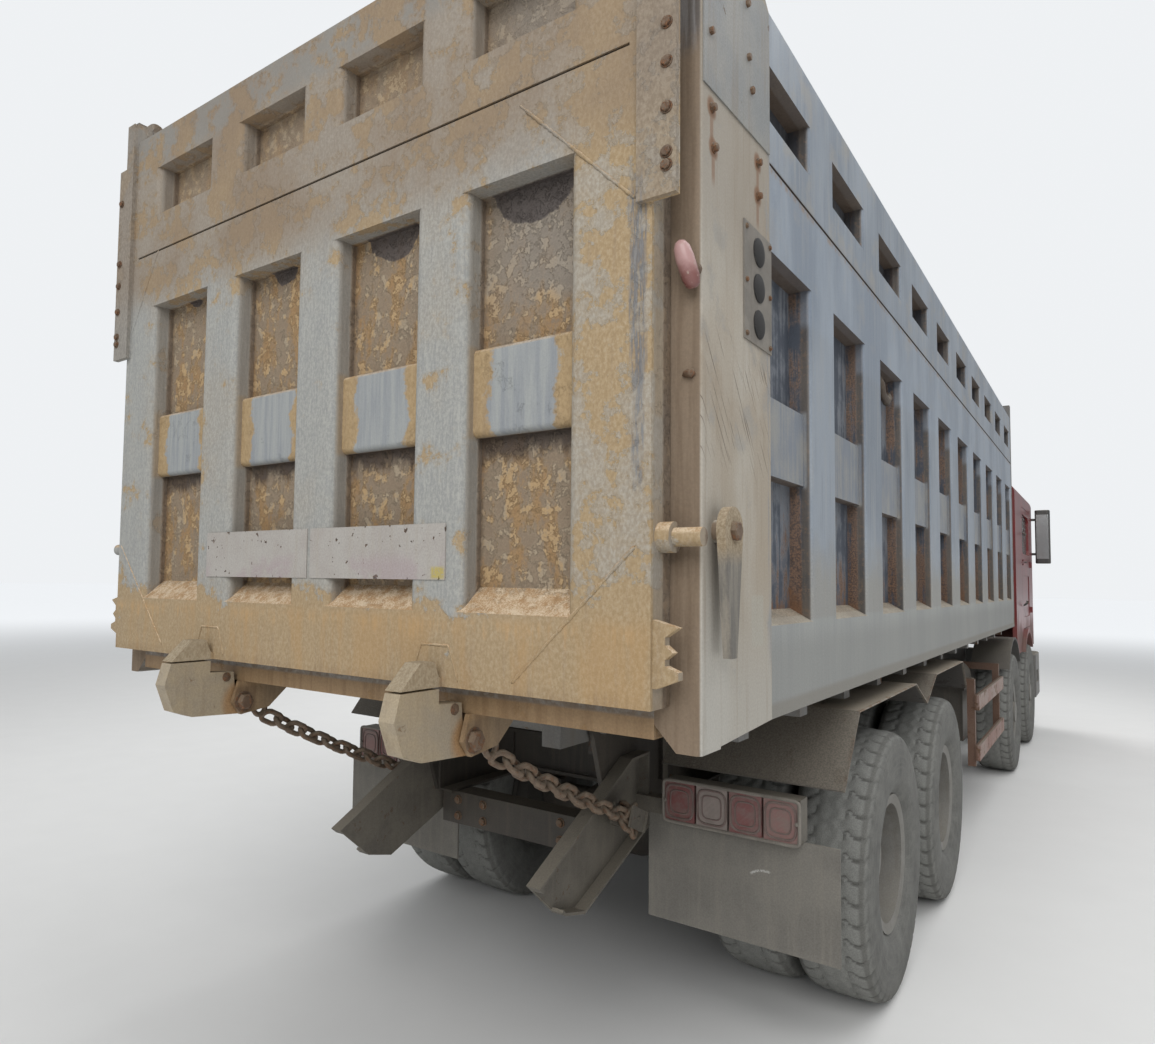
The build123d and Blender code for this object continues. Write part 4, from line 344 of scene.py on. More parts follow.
def finishPiece(name, parts, body, finish, replaced=(), angle=32.0):
    points, faces = joinParts(parts)
    obj = addMesh(name, points, faces)
    shell = bmesh.new()
    shell.from_mesh(obj.data)
    bmesh.ops.remove_doubles(shell, verts=shell.verts, dist=1e-5)
    bmesh.ops.dissolve_degenerate(shell, edges=shell.edges, dist=1e-6)
    bmesh.ops.recalc_face_normals(shell, faces=shell.faces)
    shell.to_mesh(obj.data)
    shell.free()
    obj.data.polygons.foreach_set("use_smooth", np.ones(len(obj.data.polygons), bool))
    obj.data.set_sharp_from_angle(angle=math.radians(angle))
    obj.data.materials.append(finishes[finish])
    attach(obj, body)
    if replaced:
        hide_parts(*replaced)
    return obj


def frameAlong(axis):  # two unit directions square to the axis
    axis = np.asarray(axis, float) / np.linalg.norm(axis)
    helper = np.array((0.0, 0.0, 1.0)) if abs(axis[2]) < 0.9 else np.array((1.0, 0.0, 0.0))
    first = np.cross(helper, axis)
    first /= np.linalg.norm(first)
    return first, np.cross(axis, first), axis


def lathePart(outline, count, place, axis, turn=0.0):
    # The outline of radius and height is turned about the axis in flat or round steps, closed at its poles.
    first, second, axis = frameAlong(axis)
    radius, height = np.array(outline)[:, 0][:, None, None], np.array(outline)[:, 1][:, None, None]
    angle = (turn + np.linspace(0, 2 * np.pi, count, endpoint=False))[None, :, None]
    points = np.asarray(place) + radius * (np.cos(angle) * first + np.sin(angle) * second) + height * axis
    return points.reshape(-1, 3), gridFaces(len(outline), count)


def boltParts(places, axis, size=0.017, tall=0.014):  # washer and hexagon head at each place
    head = ((0, 0), (size * 1.25, 0), (size * 1.25, 0.003), (size * 0.98, 0.0031))
    top = ((size * 0.98, 0.002), (size * 0.98, tall * 0.85), (size * 0.8, tall), (0, tall))
    return [part for number, place in enumerate(places)
            for part in (lathePart(head, 12, place, axis), lathePart(top, 6, place, axis, 0.7 * number))]


def beadPart(path, radius, count=8, rough=0.0, seed=1):
    # A round section is carried along straight runs between the path's points, with a ripple of the radius.
    path = np.array(path, float)
    lengths = np.concatenate(([0], np.cumsum(np.linalg.norm(np.diff(path, axis=0), axis=1))))
    steps = max(5, int(lengths[-1] / max(radius * 2.2, 0.006)))
    reach = np.linspace(0, lengths[-1], steps)
    centre = np.stack([np.interp(reach, lengths, path[:, axis]) for axis in range(3)], axis=-1)
    heading = np.gradient(centre, axis=0)
    heading /= np.linalg.norm(heading, axis=1)[:, None]
    helper = np.array((0.0, 0.0, 1.0)) if abs(heading[0][2]) < 0.9 else np.array((1.0, 0.0, 0.0))
    first = np.cross(helper, heading)
    first /= np.linalg.norm(first, axis=1)[:, None]
    second = np.cross(heading, first)
    ripple = 1 + rough * np.random.default_rng(seed).uniform(-1, 1, (steps, 1, 1))
    ripple[0], ripple[-1] = 0.0, 0.0
    angle = np.linspace(0, 2 * np.pi, count, endpoint=False)[None, :, None]
    points = centre[:, None] + radius * ripple * (np.cos(angle) * first[:, None] + np.sin(angle) * second[:, None])
    return points.reshape(-1, 3), gridFaces(steps, count)


def platePart(corners, thickness, normal, crown=0.0, cells=(1, 1)):
    # Four corners are blended over a grid on both faces, and the rim joins them. crown bends the middle out.
    corners, normal = np.array(corners, float), np.array(normal, float)
    across = np.linspace(0, 1, cells[0] + 1)[None, :, None]
    upward = np.linspace(0, 1, cells[1] + 1)[:, None, None]
    low = corners[0] * (1 - across) + corners[1] * across
    high = corners[3] * (1 - across) + corners[2] * across
    face = low * (1 - upward) + high * upward
    face = face + normal * crown * 4 * across * (1 - across)
    rows, columns = face.shape[:2]
    back = face - normal * thickness
    outer = (face.reshape(-1, 3), gridFaces(rows, columns, closeColumns=False))
    inner = (back.reshape(-1, 3), gridFaces(rows, columns, closeColumns=False))
    loop = np.concatenate([np.arange(columns - 1), np.arange(rows - 1) * columns + columns - 1,
                           np.arange(rows * columns - 1, (rows - 1) * columns, -1),
                           np.arange(rows - 1, 0, -1) * columns])
    rim = (np.concatenate((outer[0][loop], inner[0][loop])), gridFaces(2, len(loop)))
    return [outer, inner, rim]


wheelKinds = (
    # columns: node, body, distance ahead of both axles, sideways place of each tyre, sideways place of the nuts
    ("front_tyre", "front_wheel", (9.445, 7.615), (1.0875,), 1.1575),
    ("rear_tyres", "rear_wheels", (2.14, 3.54), (1.0875, 0.7425), 0.962),
)
wheelNuts = {"count": 10, "ring": 0.1675, "size": (0.018, 0.026), "grime": (0.13, 0.205)}


def makeTyres():
    for axle in (1, 2):
        for side, sign in sides:
            for node, body, places, rows, _ in wheelKinds:
                parts = [tyrePart(sign * y) for y in rows]
                centre = (ahead(places[axle - 1]), 0, tyre["axleHeight"])
                moved = [(points + centre, faces) for points, faces in parts]
                wheel = f"{axle}_{side}"
                finishPiece(f"{node}_{wheel}_tread", moved, f"{body}_{wheel}", "tyreRubber", [f"{node}_{wheel}"],
                            50)


def makeWheelNuts():
    turns = np.linspace(0, 2 * np.pi, wheelNuts["count"], endpoint=False)
    for node, body, places, _, nutFace in wheelKinds:
        for axle, place in enumerate(places, 1):
            for side, sign in sides:
                spots = [(ahead(place) + wheelNuts["ring"] * math.cos(turn), sign * nutFace,
                          tyre["axleHeight"] + wheelNuts["ring"] * math.sin(turn)) for turn in turns]
                finishPiece(f"{node.split('_')[0]}_nuts_{axle}_{side}",
                            boltParts(spots, (0, sign, 0), *wheelNuts["size"]), f"{body}_{axle}_{side}", "boltRust")


chain = {
    "side": 0.548, "foot": (0.98, 0.89), "head": (0.15, 1.25),  # ahead and height of both ends
    "bar": 0.01, "halfLength": 0.052, "halfWidth": 0.0345, "pitch": 0.065, "sag": 0.012, "sway": 0.1,
    "footGap": 0.01, "steps": (18, 8), "seed": 7,
}


def linkPart(middle, along, lean):
    # The bar's centre line is two half circles joined by straight runs, and a circle is carried round it.
    bar, bend = chain["bar"], chain["halfWidth"] - chain["bar"]
    straight = chain["halfLength"] - chain["halfWidth"]
    rows, columns = chain["steps"]
    u = np.linspace(0, 2 * np.pi, rows, endpoint=False)[:, None, None] + 1e-3
    v = np.linspace(0, 2 * np.pi, columns, endpoint=False)[None, :, None]
    outward = np.cos(u) * along + np.sin(u) * np.cross(along, lean)
    centre = straight * np.sign(np.cos(u)) * along + bend * outward
    points = np.asarray(middle) + centre + bar * (np.cos(v) * outward + np.sin(v) * np.asarray(lean))
    return points.reshape(-1, 3), gridFaces(rows, columns, closeRows=True)


def leanAbout(along, turn):  # a direction square to a link's run, turned about it
    flat = np.array((0.0, -1.0, 0.0))
    return math.cos(turn) * flat + math.sin(turn) * np.cross(along, flat)


def makeChains():
    # The links hang in a parabola below the line from foot to head, each a quarter turn from the last.
    foot, head = np.array(chain["foot"]), np.array(chain["head"])
    run = np.linalg.norm(head - foot)
    first = chain["halfLength"] - chain["bar"] * 2 - chain["footGap"]
    total = int((run - first) // chain["pitch"]) + 1
    share = (first + np.arange(total) * chain["pitch"]) / run
    places = foot + share[:, None] * (head - foot)
    places[:, 1] -= chain["sag"] * 4 * share * (1 - share)
    sway = np.random.default_rng(chain["seed"]).uniform(-1, 1, (2, total))
    parts = []
    for row, sign in enumerate((-1, 1)):
        middles = np.stack((ahead(places[:, 0]), np.full(total, sign * chain["side"]), places[:, 1]), axis=-1)
        along = np.gradient(middles, axis=0)
        along /= np.linalg.norm(along, axis=1)[:, None]
        for number in range(total):
            turn = np.pi / 2 * (number % 2) + np.pi / 4 + chain["sway"] * sway[row][number]
            parts.append(linkPart(middles[number], along[number], leanAbout(along[number], turn)))
    finishPiece("hook_chain_links", parts, "hook_chains", "chainRust", ["hook_chains"], 60)


fixing = {
    # rear post: distance ahead and height of each bolt, whose size is radius and height of the head
    "postBolts": ((0.045, 3.3), (0.051, 3.112), (0.066, 2.927), (0.076, 2.83), (0.3, 3.33), (0.307, 3.184),
                  (0.331, 3.103), (0.388, 2.927), (0.387, 2.832)),
    "postFace": 1.25, "postBolt": (0.0105, 0.013),
    # edge strip of the tailgate: height of each bolt
    "stripBolts": (3.3, 3.045, 2.953, 2.845, 2.741, 2.71), "stripY": 1.222, "stripX": -0.126,
    "stripBolt": (0.012, 0.01),
    # plate with pressed discs: rear and front edge, foot and top
    "holePlate": (0.275, 0.487, 2.41, 2.73), "holeLift": 0.004, "holeThick": 0.006, "rivetInset": 0.016,
    "rivet": (0.006, 0.006), "discHeights": (2.47, 2.57, 2.67),
    "disc": ((0.0395, -0.001), (0.0395, 0.003), (0.036, 0.0055), (0.018, 0.009), (0, 0.01)),
    # marker lamp: place, outline of radius and height, and the two ends of its stalk and holder
    "lamp": (-0.024, 1.244, 2.452), "lampLean": (-0.25, -0.22),
    "lampShape": ((0, 0), (0.01, 0.001), (0.017, 0.008), (0.021, 0.026), (0.022, 0.075), (0.019, 0.099),
                  (0.012, 0.112), (0, 0.118)),
    "stalk": ((-0.028, 1.24, 2.502), (0.004, 1.24, 2.502)), "stalkRadius": 0.016,
    "holder": ((-0.02, 1.222, 2.472), (-0.022, 1.222, 2.564)), "holderRadius": 0.009,
    # blank plates: left and right edge of each
    "plates": ((0.557, 0.012), (-0.004, -0.565)), "plateLow": 1.765, "plateHigh": 1.92, "plateX": -0.109,
    "plateThick": 0.004, "spot": ((-0.562, -0.515), (1.768, 1.8)),  # yellow spot, sideways and up
    # tailgate corner seams, right then left: sideways and height at each end
    "seams": (((-0.791, 3.015), (-1.135, 2.664)), ((-0.789, 1.504), (-1.139, 1.851)),
              ((0.963, 3.053), (1.166, 2.711)), ((1.166, 1.888), (0.836, 1.505))),
    "seamX": -0.1045, "seamRadius": 0.0045,
}


def mirrored(sign, places):  # ahead, sideways and height of each place, on the side that the sign names
    return [(ahead(x), sign * y, z) for x, y, z in places]


def makeBedFittings():
    rear, front, foot, top = fixing["holePlate"]
    inset, face = fixing["rivetInset"], fixing["postFace"] + fixing["holeLift"]
    for side, sign in reversed(sides):
        out = (0, sign, 0)
        bolts = mirrored(sign, [(x, fixing["postFace"], z) for x, z in fixing["postBolts"]])
        finishPiece(f"post_bolts_{side}", boltParts(bolts, out, *fixing["postBolt"]), "bed", "boltRust", angle=30)
        corners = mirrored(sign, [(rear, face, foot), (front, face, foot), (front, face, top), (rear, face, top)])
        finishPiece(f"hole_plate_{side}", platePart(corners, fixing["holeThick"], out), "bed", "paleFrame", angle=30)
        rivets = mirrored(sign, [(x, face, z) for x in (rear + inset, front - inset)
                                 for z in (foot + inset, (foot + top) / 2, top - inset)])
        finishPiece(f"hole_plate_rivets_{side}", boltParts(rivets, out, *fixing["rivet"]), "bed", "boltRust",
                    angle=30)
        discs = mirrored(sign, [((rear + front) / 2, face, z) for z in fixing["discHeights"]])
        finishPiece(f"pressed_discs_{side}", [lathePart(fixing["disc"], 28, place, out) for place in discs], "bed",
                    "discMesh", angle=30)
        leanX, leanY = fixing["lampLean"]
        shell = lathePart(fixing["lampShape"], 20, *mirrored(sign, [fixing["lamp"]]), (leanX, leanY * sign, 1))
        finishPiece(f"marker_lamp_{side}", [shell], "bed", "markerLens", angle=40)
        stalk = beadPart(mirrored(sign, fixing["stalk"]), fixing["stalkRadius"], 10)
        holder = beadPart(mirrored(sign, fixing["holder"]), fixing["holderRadius"])
        finishPiece(f"marker_stalk_{side}", [stalk, holder], "bed", "boltRust", angle=40)
        strip = mirrored(sign, [(fixing["stripX"], fixing["stripY"], z) for z in fixing["stripBolts"]])
        finishPiece(f"strip_bolts_{side}", boltParts(strip, (-1, 0, 0), *fixing["stripBolt"]), "tailgate", "boltRust",
                    angle=30)
    seams = [beadPart([(ahead(fixing["seamX"]), *end) for end in seam], fixing["seamRadius"], 6, 0.35, number)
             for number, seam in enumerate(fixing["seams"])]
    finishPiece("gate_corner_seams", seams, "tailgate", "gatePaint", angle=60)
    x, low, high = ahead(fixing["plateX"]), fixing["plateLow"], fixing["plateHigh"]
    for number, (left, right) in enumerate(fixing["plates"], 1):
        corners = [(x, left, low), (x, right, low), (x, right, high), (x, left, high)]
        plate = platePart(corners, fixing["plateThick"], (-1, 0, 0), 0.0, (12, 4))
        finishPiece(f"blank_plate_{number}", plate, "tailgate", "plateSteel", angle=30)


def loopPart(centre, halfFirst, halfSecond, power, bar, steps=40, columns=6):
    # The centre line lies in the plane of Y and Z: halfFirst sign(cos t)|cos t|^power along Y and the same with
    # halfSecond and sin along Z. A circle follows it.
    first, second = np.array((0.0, 1.0, 0.0)), np.array((0.0, 0.0, 1.0))
    t = (np.linspace(0, 2 * np.pi, steps, endpoint=False) + 1e-3)[:, None]
    line = (np.asarray(centre) + halfFirst * np.sign(np.cos(t)) * np.abs(np.cos(t)) ** power * first
            + halfSecond * np.sign(np.sin(t)) * np.abs(np.sin(t)) ** power * second)
    heading = np.roll(line, -1, axis=0) - np.roll(line, 1, axis=0)
    heading /= np.linalg.norm(heading, axis=1)[:, None]
    normal = np.cross(first, second)
    outward = np.cross(heading, normal)
    v = np.linspace(0, 2 * np.pi, columns, endpoint=False)[None, :, None]
    points = line[:, None] + bar * (np.cos(v) * outward[:, None] + np.sin(v) * normal)
    return points.reshape(-1, 3), gridFaces(steps, columns, closeRows=True)


rearLamp = {
    "inner": 0.595, "outer": 1.109, "low": 0.845, "high": 1.0, "face": 1.1845, "count": 4,
    # rings on each lens: half width, half height, bar
    "rings": ((0.055, 0.063, 0.0045), (0.037, 0.043, 0.003)), "rim": (0.259, 0.079, 0.12, 0.0065),
    "screws": (0.6, 1.104), "screwX": 1.1815, "screw": (0.006, 0.006),
}


def makeLampFrames():
    inner, outer, face = rearLamp["inner"], rearLamp["outer"], ahead(rearLamp["face"])
    pitch = (outer - inner) / rearLamp["count"]
    height = (rearLamp["low"] + rearLamp["high"]) / 2
    for side, sign in sides:
        parts = [loopPart((face, sign * (inner + (number + 0.5) * pitch), height), half, tall, 0.5, bar)
                 for number in range(rearLamp["count"]) for half, tall, bar in rearLamp["rings"]]
        finishPiece(f"lens_rings_{side}", parts, "chassis", "lensRing")
        rim = [loopPart((face, sign * (inner + outer) / 2, height), *rearLamp["rim"], 96, 8)]
        screws = mirrored(sign, [(rearLamp["screwX"], y, height) for y in rearLamp["screws"]])
        rim += boltParts(screws, (-1, 0, 0), *rearLamp["screw"])
        finishPiece(f"lamp_frame_{side}", rim, "chassis", "paleFrame")


hookFixing = {
    "y": 0.53, "pivot": (0.01, 1.32), "nutFace": 0.049, "nut": (0.03, 0.022),
    "second": (-0.05, 1.41), "studFace": 0.028, "stud": (0.013, 0.004),
    # half width and height of the trapezoid welded on above each hook
    "pads": ((0.085, 1.492), (0.05, 1.588)), "padX": -0.105, "padRadius": 0.0035,
    "shackle": (0.118, 0.548, 1.29), "shackleRun": (0.6, 0.0, -0.8),  # loop between the ear and the chain
    # extra links at each chain's foot: ahead, sideways and height from the foot, heading ahead and up, turn
    "heap": ((-0.012, 0.01, 0.02, 0.9, 0.35, 0.6), (0.014, -0.014, 0.012, 0.4, -0.8, 1.9),
             (-0.03, 0.004, -0.018, 1.0, -0.5, 2.5), (0.004, 0.016, -0.03, -0.3, 0.9, 0.2)),
}


def makeHookFittings():
    (wide, low), (narrow, high) = hookFixing["pads"]
    footX, footZ = chain["foot"]
    for side, sign in sides:
        for name, place, body in (("nut", "pivot", "bed"), ("stud", "second", "lower_hooks")):
            x, z = hookFixing[place]
            bolts = [part for face in (-1, 1) for part in boltParts(
                [(ahead(x), sign * (hookFixing["y"] + face * hookFixing[name + "Face"]), z)], (0, sign * face, 0),
                *hookFixing[name])]
            finishPiece(f"hook_{name}s_{side}", bolts, body, "boltRust")
        x, y = ahead(hookFixing["padX"]), sign * hookFixing["y"]
        pad = [(x, y - wide, low), (x, y - narrow, high), (x, y + narrow, high), (x, y + wide, low)]
        finishPiece(f"hook_pad_{side}", [beadPart(pad, hookFixing["padRadius"], 6, 0.3, 3)], "tailgate", "gatePaint",
                    angle=60)
        parts = []
        for across, aside, up, headX, headZ, turn in hookFixing["heap"]:
            along = np.array((headX, 0.0, headZ)) / math.hypot(headX, headZ)
            middle = (ahead(footX + across), sign * (chain["side"] + aside), footZ + up)
            parts.append(linkPart(middle, along, leanAbout(along, turn)))
        finishPiece(f"heaped_links_{side}", parts, "hook_chains", "chainRust", angle=60)
        place, = mirrored(sign, [hookFixing["shackle"]])
        shackle = linkPart(place, np.array(hookFixing["shackleRun"]), (0.0, 1.0, 0.0))
        finishPiece(f"shackle_{side}", [shackle], "bed", "chainRust", angle=60)


postFixing = {
    # patch plate on each rear post: distance ahead, sideways and height of its corners
    "patch": ((0.012, 1.254, 2.968), (0.478, 1.254, 2.989), (0.478, 1.254, 3.405), (0.012, 1.254, 3.47)),
    "patchThick": 0.004, "leverNut": (0.09, 1.2895, 1.89), "leverNutSize": (0.026, 0.02),
    "nub": ((-0.004, 1.205, 2.255), (-0.006, 1.222, 2.259), (-0.004, 1.24, 2.255)), "nubRadius": 0.01,
    "liftHook": ((2.02, 1.215, 2.695), (2.06, 1.215, 2.615), (2.16, 1.215, 2.59), (2.22, 1.215, 2.65)),
    "liftRadius": 0.017,
}


def makePostFittings():
    for side, sign in sides:
        out = (0, sign, 0)
        patch = platePart(mirrored(sign, postFixing["patch"]), postFixing["patchThick"], out, 0.0, (8, 8))
        finishPiece(f"post_patch_{side}", patch, "bed", "patchPaint")
        nut = boltParts(mirrored(sign, [postFixing["leverNut"]]), out, *postFixing["leverNutSize"])
        finishPiece(f"lever_nut_{side}", nut, "bed", "boltRust")
        hook = beadPart(mirrored(sign, postFixing["liftHook"]), postFixing["liftRadius"], 10, 0.03, 5)
        finishPiece(f"lifting_hook_{side}", [hook], "bed", "springSteel", angle=60)
        nub = beadPart(mirrored(sign, postFixing["nub"]), postFixing["nubRadius"], 8, 0.3, 9)
        finishPiece(f"weld_nub_{side}", [nub], "bed", "boltRust", angle=60)


cabTrim = {
    "glassFoot": 10.812, "glassLean": 0.19, "beltHeight": 1.96,
    "inside": ((8.5, 10.75), (1.13, 1.1), (1.2, 2.86)),  # the cab's hollow: ahead, sideways and up
    # each wiper: sideways and height of its pivot, elbow and blade ends
    "wipers": (((0.62, 1.985), (0.3, 2.28), (0.62, 2.36), (0.02, 2.2)),
               ((-0.1, 1.985), (-0.42, 2.28), (-0.1, 2.36), (-0.7, 2.2))),
    "armRadius": 0.007, "bladeRadius": 0.006,
    "pivot": ((0, 0), (0.018, 0), (0.018, 0.014), (0, 0.018)), "pivotSink": 0.012, "pivotLean": (1, 0, 0.2),
    "handle": ((9.215, 1.206, 2.06), (9.223, 1.23, 2.06), (9.317, 1.23, 2.06), (9.325, 1.206, 2.06)),
    "handleRadius": 0.008,
    "grabRail": ((9.075, 1.205, 1.56), (9.075, 1.25, 1.6), (9.075, 1.25, 2.36), (9.075, 1.205, 2.4)),
    "grabRadius": 0.012,
    "mirror": ((10.5545, 1.255, 2.14), (10.5545, 1.385, 2.14), (10.5545, 1.385, 2.7), (10.5545, 1.255, 2.7)),
    "mirrorThick": 0.002,
    "headlamp": (10.846, 0.92, 0.7), "headlampRing": (0.136, 0.082, 0.45, 0.006), "bulbX": 10.8455,
    "bulbs": (0.852, 0.988), "bulb": ((0, 0), (0.062, 0), (0.06, 0.006), (0.03, 0.008), (0, 0.008)),
    "roofLamps": (-0.8, -0.3, 0.0, 0.3, 0.8), "roofLampX": 10.4, "roofLampZ": 2.898,
    "roofLamp": ((0.034, 0), (0.034, 0.01), (0.028, 0.024), (0.014, 0.032), (0, 0.034)),
}


def makeCabTrim():
    parts = []
    for row in cabTrim["wipers"]:
        pivot, elbow, start, end = [
            (ahead(cabTrim["glassFoot"] - cabTrim["glassLean"] * (z - cabTrim["beltHeight"])), y, z) for y, z in row]
        parts += [beadPart([pivot, elbow], cabTrim["armRadius"]),
                  beadPart([start, elbow, end], cabTrim["bladeRadius"], 6)]
        sunk = np.array(pivot) - (cabTrim["pivotSink"], 0, 0)
        parts.append(lathePart(cabTrim["pivot"], 14, sunk, cabTrim["pivotLean"]))
    finishPiece("wipers", parts, "cab", "plasticBlack")
    for side, sign in sides:
        handle = beadPart(mirrored(sign, cabTrim["handle"]), cabTrim["handleRadius"])
        finishPiece(f"door_handle_{side}", [handle], f"{side}_door", "plasticBlack")
        rail = beadPart(mirrored(sign, cabTrim["grabRail"]), cabTrim["grabRadius"], 10)
        finishPiece(f"grab_rail_{side}", [rail], "cab", "plasticBlack")
        mirror = platePart(mirrored(sign, cabTrim["mirror"]), cabTrim["mirrorThick"], (-1, 0, 0), 0.0, (4, 4))
        finishPiece(f"mirror_glass_{side}", mirror, "cab", "mirrorSilver")
        rings = [loopPart(*mirrored(sign, [cabTrim["headlamp"]]), *cabTrim["headlampRing"], 48, 6)]
        bulbs = mirrored(sign, [(cabTrim["bulbX"], y, cabTrim["headlamp"][2]) for y in cabTrim["bulbs"]])
        rings += [lathePart(cabTrim["bulb"], 24, place, (1, 0, 0)) for place in bulbs]
        finishPiece(f"headlamp_rings_{side}", rings, "chassis", "mirrorSilver")
    lamps = [lathePart(cabTrim["roofLamp"], 16, (ahead(cabTrim["roofLampX"]), y, cabTrim["roofLampZ"]), (0, 0, 1))
             for y in cabTrim["roofLamps"]]
    finishPiece("roof_marker_lamps", lamps, "cab", "amberLens")


railBolts = {
    "first": 1.25, "last": 8.1, "pitch": 0.3425, "rows": (0.905, 1.035), "face": 0.43, "size": (0.012, 0.012),
    "barX": 1.055, "barY": (-0.34, -0.2, 0.2, 0.34), "barRows": (0.715, 0.785), "barSize": (0.016, 0.014),
}


def makeFrameBolts():
    places = np.arange(railBolts["first"], railBolts["last"], railBolts["pitch"])
    for side, sign in sides:
        spots = mirrored(sign, [(x, railBolts["face"], z) for x in places for z in railBolts["rows"]])
        finishPiece(f"rail_bolts_{side}", boltParts(spots, (0, sign, 0), *railBolts["size"]), "chassis", "boltRust")
    spots = [(ahead(railBolts["barX"]), y, z) for y in railBolts["barY"] for z in railBolts["barRows"]]
    finishPiece("rear_bar_bolts", boltParts(spots, (-1, 0, 0), *railBolts["barSize"]), "chassis", "boltRust")


gate = {
    # left and right edge of each sunk column
    "columns": ((0.974, 0.635), (0.433, 0.103), (-0.093, -0.428), (-0.622, -0.951)),
    # depths ahead: sunk panels, crosspieces, front faces, the catch plates and straps that stand proud
    "panel": (-0.052, -0.036), "setBack": (-0.095, -0.08), "front": (-0.098, -0.102), "wall": (-0.098, -0.088),
    "catch": (-0.112, -0.118), "strap": (-0.11, -0.1125), "seamDepth": (-0.101, -0.096),
    # heights: crosspieces, upper seam, top and half sizes of the semicircles of painted shade, upper faces of the
    # ledges
    "crosspiece": (2.15, 2.405), "seam": (3.041, 3.059), "shadeTop": 2.85, "shadeHalf": (0.135, 0.125),
    "ledge": (1.56, 1.679),
    # streak of bare paint down the right edge: sideways, heights
    "bareEdge": (-1.16, -1.122), "bareHeights": (1.98, 2.72),
}


def gateStep(x, key):  # rises between two of the gate's places ahead
    return x.step(*map(ahead, gate[key]))


def makeGatePaint():
    # Pale dust streaked down over old paint, ochre where it has flaked, mud in the sunk panels.
    material, shader, xyz = startFinish("gatePaint")
    x, y, z = splitPlace(xyz)
    fromCentre = nearest(y, [(left + right) / 2 for left, right in gate["columns"]])
    broad = xyz.noise(2.1, 4.0, 0.6)
    patch = xyz.noise(8.5, 8.0, 0.68, shift=(3.1, 1.7, 0.4))
    fine = xyz.noise(240.0, 3.0, 0.65)
    mottle = xyz.noise(115.0, 4.0, 0.65, (1.0, 1.0, 0.7))
    streak = xyz.noise(1.0, 5.0, 0.62, (46.0, 46.0, 3.0))
    hair = xyz.noise(1.0, 3.0, 0.6, (150.0, 150.0, 16.0))
    sunk = gateStep(x, "panel")
    bar = gateStep(x, "setBack") * (1 - sunk) * z.between(*gate["crosspiece"], 0.01)
    above = z.step(2.95, 3.1)
    face = gateStep(x, "front")
    # how far the pale coat has flaked: little on the stiles, more at the top and the right, most on the bottom beam
    flaking = (z.step(2.7, 3.0, 0.0, 0.075) + z.step(1.8, 1.62, 0.0, 0.26) + y.step(-0.9, -1.0, 0.0, 0.085)
               - y.step(-0.4, -0.1) * y.step(0.75, 0.45) * z.step(2.8, 2.6) * z.step(1.7, 1.8) * 0.05)
    worn = patch + flaking + (streak - 0.5) * 0.12 + (broad - 0.5) * 0.26
    flaked = worn.step(0.5, 0.64) * 0.45 + worn.step(0.575, 0.605) * 0.45
    pale = mottle.step(0.36, 0.64).blend((0.286, 0.288, 0.272), (0.352, 0.35, 0.328))
    pale.lay(hair.step(0.46, 0.7) * 0.55, (0.248, 0.25, 0.25))
    pale.lay(hair.step(0.44, 0.28) * 0.4, (0.395, 0.388, 0.36))
    beige = (y.step(-0.88, -0.98) * 0.75 + z.step(2.8, 3.0) * 0.55 + broad.step(0.42, 0.64) * 0.4).smaller(0.9)
    pale.lay(beige, mottle.step(0.36, 0.64).blend((0.3, 0.25, 0.19), (0.372, 0.325, 0.258)))
    ochre = mottle.step(0.36, 0.64).blend((0.322, 0.228, 0.122), (0.394, 0.286, 0.162))
    ochre.lay(streak.step(0.5, 0.75) * 0.4, (0.248, 0.18, 0.12))
    colour = flaked.blend(pale, ochre)
    # flakes have thin pale rims
    rim = abs(worn - 0.59).step(0.011, 0.003)
    colour.lay(rim * 0.5, (0.475, 0.435, 0.365))
    # a thin grey wash in small flecks over everything
    wash = (mottle * 0.6 + fine * 0.5).step(0.56, 0.68) * (0.35 - flaked * 0.2)
    colour.lay(wash, (0.385, 0.365, 0.325))
    # upper frame: pinker brown pillars and a dull grey top edge
    colour.lay(z.step(2.74, 2.98) * (0.42 + broad.step(0.38, 0.62) * 0.3), (0.212, 0.158, 0.114))
    topEdge = z.step(3.36, 3.44) * (patch + broad * 0.3).step(0.68, 0.58)
    colour.lay(topEdge * 0.7, (0.225, 0.22, 0.205))
    # crosspieces: a bare blue-grey middle framed by ochre
    middle = (fromCentre + (patch - 0.5) * 0.17).step(0.116, 0.1)
    bareTone = streak.step(0.35, 0.7).blend((0.318, 0.328, 0.32), (0.245, 0.258, 0.272))
    colour.lay(bar, middle.blend(ochre, bareTone))
    # sunk panels: crackled mud with orange where it is wet
    lumps = xyz.noise(30.0, 7.0, 0.7)
    runs = xyz.noise(1.0, 5.0, 0.65, (13.0, 13.0, 5.0), (5.0, 2.0, 1.0))
    mud = lumps.step(0.4, 0.62).blend((0.245, 0.186, 0.13), (0.35, 0.282, 0.202))
    orange = lumps.step(0.38, 0.66).blend((0.3, 0.182, 0.085), (0.44, 0.3, 0.155))
    mud.lay((runs + (lumps - 0.5) * 0.5).step(0.46, 0.58) * (1 - above * 0.6) * 0.9, orange)
    greyer = y.step(-0.55, -0.75) * (z + (patch - 0.5) * 0.4).step(2.42, 2.58) * 0.8
    mud.lay(greyer, mottled(lumps, (0.225, 0.198, 0.168), (0.29, 0.255, 0.214)))
    crack = abs(lumps - 0.52).step(0.02, 0.006) * (1 - above * 0.5)
    mud.lay(crack * runs.step(0.4, 0.6, 0.05, 0.35), (0.15, 0.095, 0.055))
    shed = abs(lumps - 0.57).step(0.014, 0.004)
    mud.lay(shed * 0.25, (0.44, 0.355, 0.25))
    colour.lay(sunk, mud)
